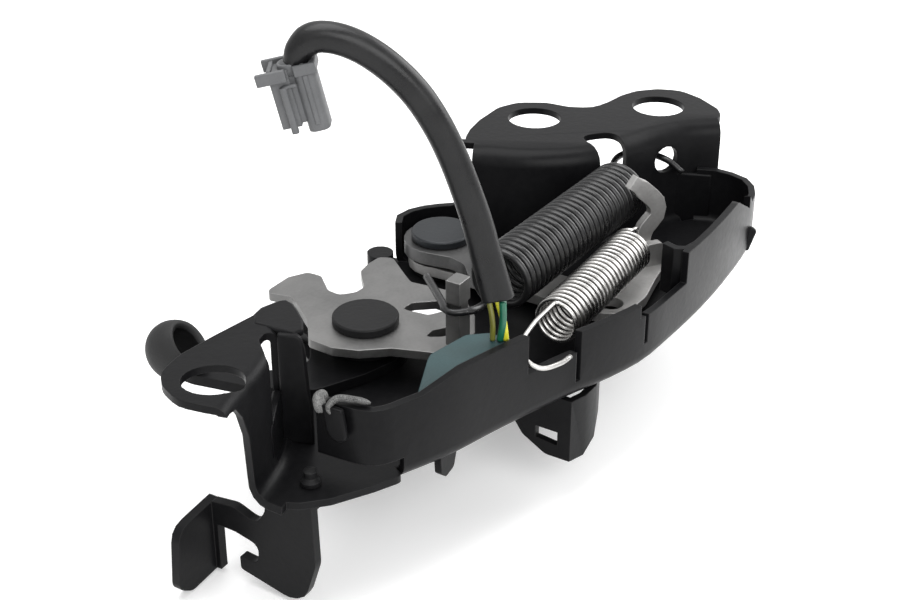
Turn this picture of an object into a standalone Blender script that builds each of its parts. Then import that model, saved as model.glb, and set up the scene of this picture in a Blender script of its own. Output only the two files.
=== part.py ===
"""Bonnet latch: a pressed steel pan that carries a rotating catch, a sprung pawl, a safety lever,
a release arm for the pull cable, a bonnet switch and its short harness.

Lengths in this file are millimetres; the function place() turns a finished mesh into metres.
The latch frame has its origin on the catch rivet's axis at the floor's upper face, with +Z up
(the side that carries the mechanism), +X along the springs and the striker entering along -Y.
Every object hangs from the empty "latch_frame", which puts the left ear's upper face at z = 0.
"""

import math

import bmesh
import bpy
import numpy as np
from mathutils import Matrix, Vector

MM = 0.001

# Sheet, ears and clearances
SHEET = 2.0
EAR_TOP = 31.0
BEND_INNER = 3.0
LEFT_BEND_INNER = 1.0
FOOT_RADIUS = 2.5
LEFT_FOOT_RADIUS = 4.0
GAP = 0.3
EAR_MOUNT = (-61.0, 3.0)
BOLT_HOLE_LEFT = (-69.5, -6.5)
BOLT_HOLE_LEFT_LENGTH = 15.0
BOLT_HOLE_LEFT_WIDTH = 13.0
BOLT_HOLES_RIGHT = ((105.0, 7.9), (134.4, -20.6))
BOLT_HOLE_RADIUS = 8.25

# Pivots
CATCH_PIVOT = (0.0, 0.0)
PAWL_PIVOT = (54.0, 10.0)
SHANK_RADIUS = 6.0
HEAD_RADIUS = 9.0
HEAD_HEIGHT = 2.2
HEAD_EDGE = 0.4
PEEN_RADIUS = 7.6
PEEN_HEIGHT = 1.9
SPACER_RADIUS = 8.6

# Stack of plates above the floor
SAFETY_THICKNESS = 2.9
CATCH_THICKNESS = 4.0
CATCH_BOTTOM = 6.5
ARM_THICKNESS = 3.0
ARM_BOTTOM = 2.2

# Striker slot
SLOT_CENTRE_X = 26.0
SLOT_RADIUS = 9.0
SLOT_END_Y = -1.0

# Front wall
WALL_TOP = 23.5
LEFT_WALL_TOP = 20.3
WALL_NOTCH_BOTTOM = 12.5
WALL_FREE_BOTTOM = 5.0
TAB_TOP = 18.0
DENT_TOP = 14.0
END_WALL_TOP = 17.0
SLIT = 1.5

# Springs
CATCH_SPRING_RADIUS = 8.0
CATCH_SPRING_WIRE = 1.05
CATCH_SPRING_TURNS = 27
CATCH_SPRING_AXIS = ((24.0, -27.0, 20.0), (91.0, -29.2, 21.0))
PAWL_SPRING_RADIUS = 5.9
PAWL_SPRING_WIRE = 0.65
PAWL_SPRING_TURNS = 23
PAWL_SPRING_AXIS = ((21.0, -46.0, 14.3), (69.0, -44.5, 14.8))

# Catch post
POST = (4.0, -26.5)
POST_WIDTH = 5.2
POST_DEPTH = 4.2
POST_TOP = 29.5
POST_GROOVE = 21.6
POST_GROOVE_HEIGHT = 3.0
POST_GROOVE_DEPTH = 1.0

# Pawl turned by this much from its latched place, so that it clears the turning catch
PAWL_RIDE_DEG = 12.0

# Safety lever and its soft cap
CAP_CENTRE = (-34.6, 37.0, 7.2)
CAP_LENGTH = 21.0
CAP_WIDTH = 16.0
CAP_HEIGHT = 14.0
CAP_WALL = 2.2
CAP_GRIP = 8.0

# Cable holder below the floor
HOLDER_SHEET = 2.5
HOLDER_X = -61.0
HOLDER_BOTTOM = -33.0

# Clip bracket below the floor
CLIP_SHEET = 2.0
CLIP_X = 12.0
CLIP_BOTTOM = -21.0

# Switch and harness
SWITCH_TOP = 22.0
SWITCH_BOTTOM = 3.2
PLUNGER_RADIUS = 1.8
SLEEVE_DIAMETER = 7.6
WIRE_DIAMETER = 1.7
SLEEVE_ROUTE = (
    (-6.7, -44.6, 34.0),
    (-8.0, -42.4, 43.9),
    (-9.4, -40.3, 53.9),
    (-10.8, -38.0, 62.5),
    (-12.4, -35.4, 71.0),
    (-14.3, -32.4, 79.0),
    (-16.8, -28.4, 86.8),
    (-19.9, -23.5, 93.2),
    (-23.2, -18.1, 97.9),
    (-26.4, -13.1, 100.4),
    (-29.1, -8.8, 100.6),
    (-30.9, -6.0, 98.0),
    (-31.6, -4.8, 94.4),
)
CONNECTOR_TOP = 92.8
CONNECTOR_HEIGHT = 20.0
CONNECTOR_CENTRE = (-32.0, -3.4)
CONNECTOR_TURN_DEG = -58.0
CONNECTOR_WIDTH = 15.0
CONNECTOR_DEPTH = 9.0


def clear_scene():
    for obj in list(bpy.data.objects):
        bpy.data.objects.remove(obj, do_unlink=True)


def material(name, colour, roughness, metallic):
    mat = bpy.data.materials.new(name)
    mat.use_nodes = True
    shader = mat.node_tree.nodes["Principled BSDF"]
    shader.inputs["Base Color"].default_value = (*colour, 1.0)
    shader.inputs["Roughness"].default_value = roughness
    shader.inputs["Metallic"].default_value = metallic
    mat.diffuse_color = (*colour, 1.0)
    return mat


# Outlines

def rounded(points, radius):
    """The polygon with each corner replaced by an arc; radius is one number or one for each corner."""
    radii = radius if isinstance(radius, (list, tuple)) else [radius] * len(points)
    result = []
    count = len(points)
    for i in range(count):
        corner = Vector(points[i])
        back = Vector(points[i - 1]) - corner
        ahead = Vector(points[(i + 1) % count]) - corner
        angle = back.angle(ahead)
        if radii[i] <= 0 or abs(angle - math.pi) < 0.08:
            result.append(tuple(corner))
            continue
        reach = radii[i] / math.tan(angle / 2)
        reach = min(reach, 0.48 * back.length, 0.48 * ahead.length)
        start = corner + back.normalized() * reach
        end = corner + ahead.normalized() * reach
        steps = max(2, round((math.pi - angle) / 0.4))
        for k in range(steps + 1):
            t = k / steps
            result.append(tuple(start * (1 - t) ** 2 + corner * 2 * t * (1 - t) + end * t**2))
    return result


def circle(centre, radius, count=24):
    turn = 2 * math.pi / count
    return [
        (centre[0] + radius * math.cos(turn * i), centre[1] + radius * math.sin(turn * i))
        for i in range(count)
    ]


def oval(centre, length, width, angle_deg, count=24):
    """An ellipse-like slot outline, turned by angle_deg from +X."""
    turn = math.radians(angle_deg)
    result = []
    for i in range(count):
        a = 2 * math.pi * i / count
        u = 0.5 * length * math.cos(a)
        v = 0.5 * width * math.sin(a)
        result.append((
            centre[0] + u * math.cos(turn) - v * math.sin(turn),
            centre[1] + u * math.sin(turn) + v * math.cos(turn),
        ))
    return result


def polar(centre, radius, angle_deg):
    a = math.radians(angle_deg)
    return (centre[0] + radius * math.cos(a), centre[1] + radius * math.sin(a))


def smooth_path(points, count):
    """count points, evenly spaced along a Catmull-Rom curve through the given points."""
    pts = np.array(points, float)
    ends = np.vstack([2 * pts[0] - pts[1], pts, 2 * pts[-1] - pts[-2]])
    fine = []
    for i in range(len(pts) - 1):
        p0, p1, p2, p3 = ends[i : i + 4]
        for t in np.linspace(0, 1, 24, endpoint=False):
            fine.append(0.5 * (
                2 * p1
                + (p2 - p0) * t
                + (2 * p0 - 5 * p1 + 4 * p2 - p3) * t**2
                + (3 * p1 - p0 - 3 * p2 + p3) * t**3
            ))
    fine.append(pts[-1])
    fine = np.array(fine)
    run = np.concatenate([[0], np.cumsum(np.linalg.norm(np.diff(fine, axis=0), axis=1))])
    wanted = np.linspace(0, run[-1], count)
    return np.stack([np.interp(wanted, run, fine[:, k]) for k in range(pts.shape[1])], axis=1)


# Solids, all in millimetres

def from_bmesh(bm, name):
    bmesh.ops.recalc_face_normals(bm, faces=bm.faces)
    mesh = bpy.data.meshes.new(name)
    bm.to_mesh(mesh)
    bm.free()
    obj = bpy.data.objects.new(name, mesh)
    bpy.context.scene.collection.objects.link(obj)
    return obj


def prism(outline, low, high, name="solid"):
    """The outline raised from low to high."""
    bm = bmesh.new()
    face = bm.faces.new([bm.verts.new((x, y, low)) for x, y in outline])
    raised = bmesh.ops.extrude_face_region(bm, geom=[face])
    lifted = [v for v in raised["geom"] if isinstance(v, bmesh.types.BMVert)]
    bmesh.ops.translate(bm, verts=lifted, vec=(0, 0, high - low))
    return from_bmesh(bm, name)


def cylinder(centre, radius, low, high, count=24):
    return prism(circle(centre, radius, count), low, high)


def box(low, high):
    outline = [(low[0], low[1]), (high[0], low[1]), (high[0], high[1]), (low[0], high[1])]
    return prism(outline, low[2], high[2])


def loft(rings, name="solid"):
    """A closed body through rings of equal count, with a flat cap on each end."""
    bm = bmesh.new()
    made = [[bm.verts.new(point) for point in ring] for ring in rings]
    count = len(made[0])
    for lower, upper in zip(made, made[1:]):
        for k in range(count):
            bm.faces.new((lower[k], lower[(k + 1) % count], upper[(k + 1) % count], upper[k]))
    bm.faces.new(made[0][::-1])
    bm.faces.new(made[-1])
    return from_bmesh(bm, name)


def turned(centre, profile, count=28):
    """A body of revolution about a vertical axis; profile is (radius, z) from the axis to the axis."""
    bm = bmesh.new()
    rings = []
    for radius, z in profile:
        if radius == 0:
            rings.append([bm.verts.new((centre[0], centre[1], z))])
            continue
        rings.append([bm.verts.new((x, y, z)) for x, y in circle(centre, radius, count)])
    for lower, upper in zip(rings, rings[1:]):
        for k in range(count):
            after = (k + 1) % count
            if len(lower) == 1:
                bm.faces.new((lower[0], upper[after], upper[k]))
            elif len(upper) == 1:
                bm.faces.new((lower[k], lower[after], upper[0]))
            else:
                bm.faces.new((lower[k], lower[after], upper[after], upper[k]))
    return from_bmesh(bm, "turned")


def wire(points, radius, sides=8, name="wire"):
    """A round wire along the points, each ring carried from the last one without twist."""
    pts = [Vector(p) for p in points]
    rings = []
    up = None
    for i, point in enumerate(pts):
        ahead = (pts[min(i + 1, len(pts) - 1)] - pts[max(i - 1, 0)]).normalized()
        if up is None:
            up = ahead.orthogonal().normalized()
        up = (up - ahead * up.dot(ahead)).normalized()
        side = ahead.cross(up)
        turn = 2 * math.pi / sides
        rings.append([
            tuple(point + (up * math.cos(turn * k) + side * math.sin(turn * k)) * radius)
            for k in range(sides)
        ])
    return loft(rings, name)


def mitred(path):
    """For each point of a plan path, its unit normal on the left, stretched at the bends."""
    pts = [Vector(p) for p in path]
    normals = []
    for i, point in enumerate(pts):
        before = (point - pts[max(i - 1, 0)]) if i else pts[1] - point
        after = (pts[i + 1] - point) if i + 1 < len(pts) else point - pts[i - 1]
        a = Vector((-before.y, before.x)).normalized()
        b = Vector((-after.y, after.x)).normalized()
        middle = (a + b).normalized()
        normals.append(middle / max(0.6, middle.dot(a)))
    return normals


def arc(centre, radius, start_deg, end_deg, count=4):
    return [
        (
            centre[0] + radius * math.cos(math.radians(start_deg + (end_deg - start_deg) * k / count)),
            centre[1] + radius * math.sin(math.radians(start_deg + (end_deg - start_deg) * k / count)),
        )
        for k in range(count + 1)
    ]


def folded_band(path, section_of):
    """Folded sheet: at each station the closed section (n, z) is set out along the path's left normal."""
    rings = []
    for i, (point, normal) in enumerate(zip(path, mitred(path))):
        rings.append([
            (point[0] + normal.x * n, point[1] + normal.y * n, z) for n, z in section_of(i)
        ])
    return loft(rings)


def combine(target, tool, operation):
    modifier = target.modifiers.new("join", "BOOLEAN")
    modifier.operation = operation
    modifier.solver = "EXACT"
    modifier.object = tool
    graph = bpy.context.evaluated_depsgraph_get()
    graph.update()
    mesh = bpy.data.meshes.new_from_object(target.evaluated_get(graph))
    target.modifiers.clear()
    old = target.data
    target.data = mesh
    bpy.data.meshes.remove(old)
    bpy.data.objects.remove(tool, do_unlink=True)
    return target


def join(target, *tools):
    for tool in tools:
        combine(target, tool, "UNION")
    return target


def cut(target, *tools):
    for tool in tools:
        combine(target, tool, "DIFFERENCE")
    return target


FRAME = None


def place(obj, name, mat, pivot=(0.0, 0.0, 0.0), sharp_deg=35.0):
    """Names the piece, moves its origin to its pivot, and hangs it from the latch's frame."""
    mesh = obj.data
    mesh.transform(Matrix.Translation(-Vector(pivot)))
    mesh.transform(Matrix.Scale(MM, 4))
    obj.name = name
    mesh.name = name
    mesh.materials.clear()
    mesh.materials.append(mat)
    mesh.shade_smooth()
    mesh.set_sharp_from_angle(angle=math.radians(sharp_deg))
    obj.location = Vector(pivot) * MM
    obj.parent = FRAME
    return obj


# Base plate

FRONT_WALL = (
    (-41.0, -39.3),
    (-28.0, -44.6),
    (-11.0, -49.2),
    (9.0, -55.4),
    (24.0, -61.0),
    (37.6, -64.8),
    (51.0, -65.8),
    (73.0, -66.3),
    (94.0, -65.2),
    (112.0, -63.2),
    (121.0, -60.5),
    (127.0, -55.5),
    (129.2, -48.0),
    (129.0, -42.5),
    (127.0, -38.6),
)
LEFT_WALL = (
    (-50.0, -20.5),
    (-49.2, -31.0),
    (-47.6, -35.4),
    (-44.5, -37.9),
    (-41.0, -39.3),
    (-36.0, -41.4),
)
EAR_WALL = (
    (51.5, 22.5),
    (56.0, 24.6),
    (62.3, 22.8),
    (69.0, 16.8),
    (73.5, 9.0),
    (79.5, -5.0),
    (90.0, -18.0),
    (102.0, -24.8),
    (114.5, -29.5),
    (125.0, -35.8),
    (132.0, -43.5),
)
LOW_WALL_TOP = 13.0
LEFT_EAR_WALL = (
    (-33.5, 1.2),
    (-40.5, -3.3),
    (-47.8, -7.9),
    (-53.5, -10.5),
    (-60.5, -12.8),
    (-66.0, -14.0),
    (-72.0, -15.4),
    (-79.0, -17.6),
)
LEFT_EAR_REACH = 24.0
LEFT_EAR = (
    (-31.8, 1.2),
    (-34.9, 3.4),
    (-53.4, 6.0),
    (-65.0, 7.2),
    (-73.3, 5.9),
    (-77.5, 1.8),
    (-80.4, -5.0),
    (-79.2, -11.5),
    (-77.0, -19.5),
)
RIGHT_EAR = (
    (136.0, -42.0),
    (142.4, -37.5),
    (147.8, -29.0),
    (150.5, -21.0),
    (147.9, -14.0),
    (142.5, -8.8),
    (136.6, -6.6),
    (128.9, -5.5),
    (122.3, -3.6),
    (118.9, 3.0),
    (118.2, 11.0),
    (113.5, 18.8),
    (106.5, 21.9),
    (94.5, 21.6),
    (86.5, 20.2),
    (77.0, 17.0),
)
FLOOR = (
    (-66.5, -19.0),
    (-63.5, -25.0),
    (-58.2, -30.0),
    (-48.6, -35.6),
    (-41.0, -39.2),
    (-39.5, -35.0),
    (-27.0, -39.5),
    (-10.0, -44.0),
    (9.0, -50.0),
    (25.0, -55.5),
    (38.0, -59.3),
    (51.0, -60.2),
    (73.0, -60.7),
    (94.0, -59.6),
    (110.5, -57.8),
    (118.0, -55.0),
    (122.5, -50.5),
    (124.0, -46.0),
    (126.5, -40.5),
    (114.0, -32.0),
    (101.0, -26.5),
    (89.0, -20.0),
    (78.0, -6.0),
    (72.0, 8.0),
    (67.5, 15.5),
    (61.5, 21.0),
    (56.0, 22.8),
    (52.5, 24.5),
    (52.0, 29.0),
    (47.0, 32.0),
    (42.5, 29.0),
    (37.0, 25.5),
)
FLOOR_LEFT_OF_SLOT = (
    (15.0, 26.0),
    (12.0, 35.0),
    (5.5, 37.5),
    (2.0, 33.0),
    (-2.0, 24.0),
    (-10.0, 12.0),
    (-19.0, 1.5),
    (-30.0, -1.5),
    (-37.0, -6.5),
    (-45.4, -11.6),
    (-51.7, -14.2),
    (-59.5, -16.5),
)


def wall_section(top, foot, bottom=None):
    """An upright sheet with its outer face at n = 0, folded up from the floor, or free at the bottom."""
    if bottom is not None:
        lean = (top - bottom) / 8
        inner = [(SHEET, bottom + lean * k) for k in range(9)]
        outer = [(0.0, top - lean * k) for k in range(9)]
        return inner + outer
    inner = arc((foot + SHEET, foot), foot, 270, 180)
    outer = arc((foot + SHEET, foot), foot + SHEET, 180, 270)
    reach = foot + SHEET + 5.0
    return [(reach, 0.0)] + inner + [(SHEET, top), (0.0, top)] + outer + [(reach, -SHEET)]


def ear_section(foot, bend_inner, ear_reach=4.0):
    """Floor, wall and ear in one fold: a foot radius below and a bend outward on top."""
    bend = bend_inner + SHEET
    foot_in = arc((-foot, foot), foot, 270, 360)
    foot_out = arc((-foot, foot), foot + SHEET, 360, 270)
    bend_out = arc((bend, EAR_TOP - bend), bend, 180, 90)
    bend_in = arc((bend, EAR_TOP - bend), bend_inner, 90, 180)
    flat = bend + ear_reach
    reach = -foot - 4.0
    return (
        [(reach, 0.0)] + foot_in + bend_out + [(flat, EAR_TOP), (flat, EAR_TOP - SHEET)]
        + bend_in + foot_out + [(reach, -SHEET)]
    )


def make_base(mat):
    plate = prism(rounded(FLOOR + FLOOR_LEFT_OF_SLOT, 2.0), -SHEET, 0.0)
    slot = [
        (SLOT_CENTRE_X - SLOT_RADIUS - 5.0, 45.0),
        (SLOT_CENTRE_X - SLOT_RADIUS - 3.0, 30.0),
        (SLOT_CENTRE_X - SLOT_RADIUS, 20.0),
    ]
    slot += arc((SLOT_CENTRE_X, SLOT_END_Y), SLOT_RADIUS, 180, 360, 10)
    slot += [
        (SLOT_CENTRE_X + SLOT_RADIUS, 20.0),
        (SLOT_CENTRE_X + SLOT_RADIUS + 5.0, 27.0),
        (SLOT_CENTRE_X + SLOT_RADIUS + 8.0, 45.0),
    ]
    cut(plate, prism(slot, -SHEET - 1, 1.0))
    for pivot in (CATCH_PIVOT, PAWL_PIVOT):
        cut(plate, cylinder(pivot, SHANK_RADIUS + GAP, -SHEET - 1, 1.0))

    # Front wall: one fold, then its notch, slits and stepped top are cut
    front = [tuple(p) for p in smooth_path(FRONT_WALL, 34)]
    ramp = [float(np.interp(x, (-36.0, -26.0), (LEFT_WALL_TOP, WALL_TOP))) for x, y in front]
    tops = [END_WALL_TOP if x > 108 else top for (x, y), top in zip(front, ramp)]
    wall = folded_band(front, lambda i: wall_section(tops[i], FOOT_RADIUS))
    left = [tuple(p) for p in smooth_path(LEFT_WALL, 12)]
    free = folded_band(left, lambda i: wall_section(LEFT_WALL_TOP, 0, WALL_FREE_BOTTOM))
    cut(free, prism([(-40.8, -45), (-30, -45), (-30, -34), (-40.8, -34)], -5, WALL_FREE_BOTTOM + 4))
    join(wall, free)
    cut(
        wall,
        prism(
            [(-3.0, -60), (13.0, -65), (13.0, -40), (-3.0, -40)],
            WALL_NOTCH_BOTTOM, WALL_TOP + 5,
        ),
        prism([(12.0, -66), (37.0, -72), (37.0, -50), (12.0, -48)], TAB_TOP, WALL_TOP + 5),
        prism([(35.0, -75), (59.5, -75), (59.5, -50), (35.0, -50)], DENT_TOP, WALL_TOP + 5),
        prism([(13, -65), (13 + SLIT, -65), (13 + SLIT, -50), (13, -50)], 3.5, WALL_TOP),
        prism([(37, -72), (37 + SLIT, -72), (37 + SLIT, -55), (37, -55)], 5.5, WALL_TOP),
    )
    slope = prism([(0, 0), (13, -7.5), (13, 1), (0, 1)], -8, 8)
    slope.data.transform(Matrix.Rotation(math.radians(90), 4, "X"))
    slope.data.transform(Matrix.Translation((96.5, -64.0, WALL_TOP)))
    cut(wall, slope)

    # The wall's right part begins with a short inward return
    turn = folded_band(
        [(61.0, -57.5), (59.6, -61.5), (61.4, -65.2), (66.0, -66.2)],
        lambda i: wall_section(WALL_TOP, 0, 9.0),
    )
    join(plate, wall, turn)

    # Right ear with its wall: one fold, cut down to the low wall on its left
    bend = BEND_INNER + SHEET
    tall = [tuple(p) for p in smooth_path(EAR_WALL, 26)]
    ear = folded_band(tall, lambda i: ear_section(FOOT_RADIUS, BEND_INNER))
    step_down = prism([
        (-45.0, LOW_WALL_TOP), (-7.0, LOW_WALL_TOP), (-3.6, LOW_WALL_TOP + 1.0),
        (-1.6, LOW_WALL_TOP + 3.2), (-0.8, LOW_WALL_TOP + 6.5), (-0.8, 45.0), (-45.0, 45.0),
    ], -18.0, 30.0)
    step_down.data.transform(Matrix((
        (0.40, 0, 0.9165, 73.0), (-0.9165, 0, 0.40, 10.4), (0, 1, 0, 0), (0, 0, 0, 1),
    )))
    cut(ear, step_down)
    inner_edge = [
        (p[0] + n.x * (bend + 1.0), p[1] + n.y * (bend + 1.0))
        for p, n in zip(tall, mitred(tall)) if p[1] < 8.0
    ]
    join(ear, prism(inner_edge + rounded(RIGHT_EAR, 7.0)[1:], EAR_TOP - SHEET, EAR_TOP))
    for centre in BOLT_HOLES_RIGHT:
        cut(ear, cylinder(centre, BOLT_HOLE_RADIUS, EAR_TOP - SHEET - 3, EAR_TOP + 3, 28))
    window = rounded([(90.8, -28.5), (98.0, -33.5), (108.0, -17.5), (99.2, -10.0)], 4.5)
    cut(ear, prism(window, 13.0, EAR_TOP + 3))
    hook_hole = prism(circle((0, 0), 4.3, 16), -6, 6)
    hook_hole.data.transform(Matrix.Rotation(math.radians(90), 4, "X"))
    hook_hole.data.transform(Matrix.Rotation(math.radians(-28), 4, "Z"))
    hook_hole.data.transform(Matrix.Translation((118.5, -31.5, 21.0)))
    cut(ear, hook_hole)
    vee = prism([(-3.2, -12.0), (3.4, -12.0), (1.2, 3.0), (-1.2, 3.0)], -9, 9)
    vee.data.transform(Matrix.Rotation(math.radians(90), 4, "X"))
    vee.data.transform(Matrix.Rotation(math.radians(-45), 4, "Z"))
    vee.data.transform(Matrix.Translation((126.0, -37.0, 11.0)))
    cut(ear, vee)
    cut(ear, prism([(125.5, -31), (121, -45), (133, -52), (142, -38)], -5.0, 4.0))
    join(plate, ear)

    # Left ear: a wide fold cut to the ear's outline, with a wide front leg and a narrow rear leg
    legs = [tuple(p) for p in smooth_path(LEFT_EAR_WALL, 16)][::-1]
    left_ear = folded_band(legs, lambda i: ear_section(LEFT_FOOT_RADIUS, LEFT_BEND_INNER, LEFT_EAR_REACH))
    keep = rounded(LEFT_EAR, [1.2, 3.0, 9.0, 9.0, 8.0, 8.0, 8.0, 8.0, 1.5])
    keep += [(-66.0, -26.0), (-30.0, -26.0), (-27.0, -6.0)]
    combine(left_ear, prism(keep, -8.0, EAR_TOP + 4), "INTERSECT")
    under = prism([
        (-90, -10), (-69, -10), (-66.5, 4), (-67.5, 17), (-70, 24), (-73, 28),
        (-76, EAR_TOP - SHEET - GAP), (-90, EAR_TOP - SHEET - GAP),
    ], -5, 40)
    under.data.transform(Matrix.Rotation(math.radians(90), 4, "X"))
    cut(left_ear, under)
    kidney = rounded(
        [(-45.0, -16.0), (-54.0, -20.0), (-54.5, -10.0), (-49.8, -4.2), (-46.6, -3.4), (-43.9, -5.0)], 1.8,
    )
    cut(left_ear, prism(kidney, 1.5, EAR_TOP + 3))
    hole = oval(BOLT_HOLE_LEFT, BOLT_HOLE_LEFT_LENGTH, BOLT_HOLE_LEFT_WIDTH, -58.0)
    cut(left_ear, prism(hole, EAR_TOP - SHEET - 3, EAR_TOP + 3))
    join(plate, left_ear)

    # Upturned button beside the slot's mouth, lowered tab under the front edge
    join(plate, cylinder((47.3, 27.6), 4.0, -1.0, 3.6, 16))
    tab = rounded([(-28.5, -6.4), (-26.5, -8.2), (-22.8, -7.2), (-20.8, -1.0), (-29.0, -1.0)], 1.2)
    tab_solid = prism(tab, 0.0, SHEET)
    tab_solid.data.transform(Matrix.Rotation(math.radians(90), 4, "X"))
    tab_solid.data.transform(Matrix.Translation((0.0, -40.0, 0.0)))
    join(plate, tab_solid)
    return place(plate, "base_plate", mat)


# Rivets and spacers

def make_rivet(name, centre, mat, top):
    head_low = top - HEAD_HEIGHT
    foot = -SHEET - GAP
    body = turned(centre, [
        (0, foot - PEEN_HEIGHT),
        (PEEN_RADIUS - 1.5, foot - PEEN_HEIGHT),
        (PEEN_RADIUS, foot - 1.0),
        (PEEN_RADIUS, foot),
        (SHANK_RADIUS, foot),
        (SHANK_RADIUS, head_low),
        (HEAD_RADIUS, head_low),
        (HEAD_RADIUS, top - HEAD_EDGE),
        (HEAD_RADIUS - HEAD_EDGE, top),
        (0, top),
    ])
    return place(body, name, mat)


def make_spacer(name, centre, low, high, mat):
    ring = cylinder(centre, SPACER_RADIUS, low, high, 28)
    cut(ring, cylinder(centre, SHANK_RADIUS + GAP, low - 1, high + 1, 28))
    return place(ring, name, mat)


# Catch

CATCH_OUTLINE = (
    (0.9, 33.3),
    (9.7, 33.2),
    (15.0, 30.2),
    (15.2, 25.7),
    (9.4, 19.2),
    (8.9, 15.0),
    (12.5, 12.0),
    (16.2, 11.6),
    (21.3, 16.2),
    (23.6, 18.0),
    (28.4, 18.7),
    (33.4, 18.4),
    (35.2, 14.8),
    (29.6, 7.7),
    (25.6, 2.4),
    (26.6, -5.5),
    (27.0, -11.0),
    (24.0, -17.0),
    (18.5, -23.0),
    (11.0, -27.5),
    (2.0, -29.0),
    (-3.1, -25.4),
    (-5.4, -19.2),
    (-7.6, -13.3),
    (-13.2, -6.6),
    (-15.6, 0.0),
    (-15.2, 7.8),
    (-7.3, 13.9),
    (-0.8, 22.6),
    (1.0, 25.6),
    (-0.6, 32.1),
)


def make_catch(mat):
    top = CATCH_BOTTOM + CATCH_THICKNESS
    plate = prism(rounded(CATCH_OUTLINE, 2.2), CATCH_BOTTOM, top)
    cut(plate, cylinder(CATCH_PIVOT, SHANK_RADIUS + GAP, CATCH_BOTTOM - 1, top + 1))
    long_slot = rounded([(11.3, -4.0), (15.8, -4.6), (22.5, -12.5), (20.0, -16.5), (12.3, -12.0)], 1.6)
    short_slot = rounded([(1.8, -17.6), (6.0, -17.4), (12.5, -22.0), (10.0, -24.2), (4.6, -21.6)], 1.3)
    for slot in (long_slot, short_slot):
        cut(plate, prism(slot, CATCH_BOTTOM - 1, top + 1))
    x, y = POST
    post = box(
        (x - POST_WIDTH / 2, y - POST_DEPTH / 2, top - 1.0),
        (x + POST_WIDTH / 2, y + POST_DEPTH / 2, POST_TOP),
    )
    for side in (-1, 1):
        notch_x = x + side * (POST_WIDTH / 2 + 2.0 - POST_GROOVE_DEPTH)
        cut(post, box(
            (notch_x - 2.0, y - POST_DEPTH, POST_GROOVE - POST_GROOVE_HEIGHT / 2),
            (notch_x + 2.0, y + POST_DEPTH, POST_GROOVE + POST_GROOVE_HEIGHT / 2),
        ))
    corner = prism([(-4, 0), (-4, 4), (0, 4)], -9, 9)
    corner.data.transform(Matrix.Rotation(math.radians(90), 4, "X"))
    corner.data.transform(Matrix.Translation((x - POST_WIDTH / 2 + 1.6, y, POST_TOP - 1.8)))
    cut(post, corner)
    join(plate, post)
    return place(plate, "catch", mat, pivot=(*CATCH_PIVOT, CATCH_BOTTOM))


# Pawl group, drawn latched and turned to its riding place

def ride(obj):
    turn = Matrix.Rotation(math.radians(PAWL_RIDE_DEG), 4, "Z")
    centre = Vector((*PAWL_PIVOT, 0.0))
    obj.data.transform(Matrix.Translation(centre) @ turn @ Matrix.Translation(-centre))


def make_pawl(mat):
    low = CATCH_BOTTOM
    high = CATCH_BOTTOM + CATCH_THICKNESS
    outline = [polar(PAWL_PIVOT, 11.2, a) for a in range(-30, 181, 15)]
    outline += [(42.6, 3.0), (40.0, -2.0), (34.5, -5.0), (32.9, -9.2), (36.2, -12.9), (40.5, -15.5)]
    outline += [(46.5, -12.0), (54.0, -5.0)]
    plate = prism(rounded(outline, [0] * 15 + [4, 4, 1.6, 0.6, 1.0, 3, 4, 4]), low, high)
    cut(plate, cylinder(PAWL_PIVOT, SHANK_RADIUS + GAP, low - 1, high + 1))
    ride(plate)
    return place(plate, "pawl", mat, pivot=(*PAWL_PIVOT, low))


FINGER = (81.0, -45.0)
FINGER_STRIP = (
    (-2.6, 3.0),
    (-2.9, 12.0),
    (-1.4, 16.8),
    (1.6, 19.9),
    (1.5, 24.0),
    (-2.6, 28.4),
    (-5.2, 30.7),
    (-7.2, 32.2),
)
FINGER_WIDTH = 5.2
FINGER_SHEET = 2.4


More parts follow.
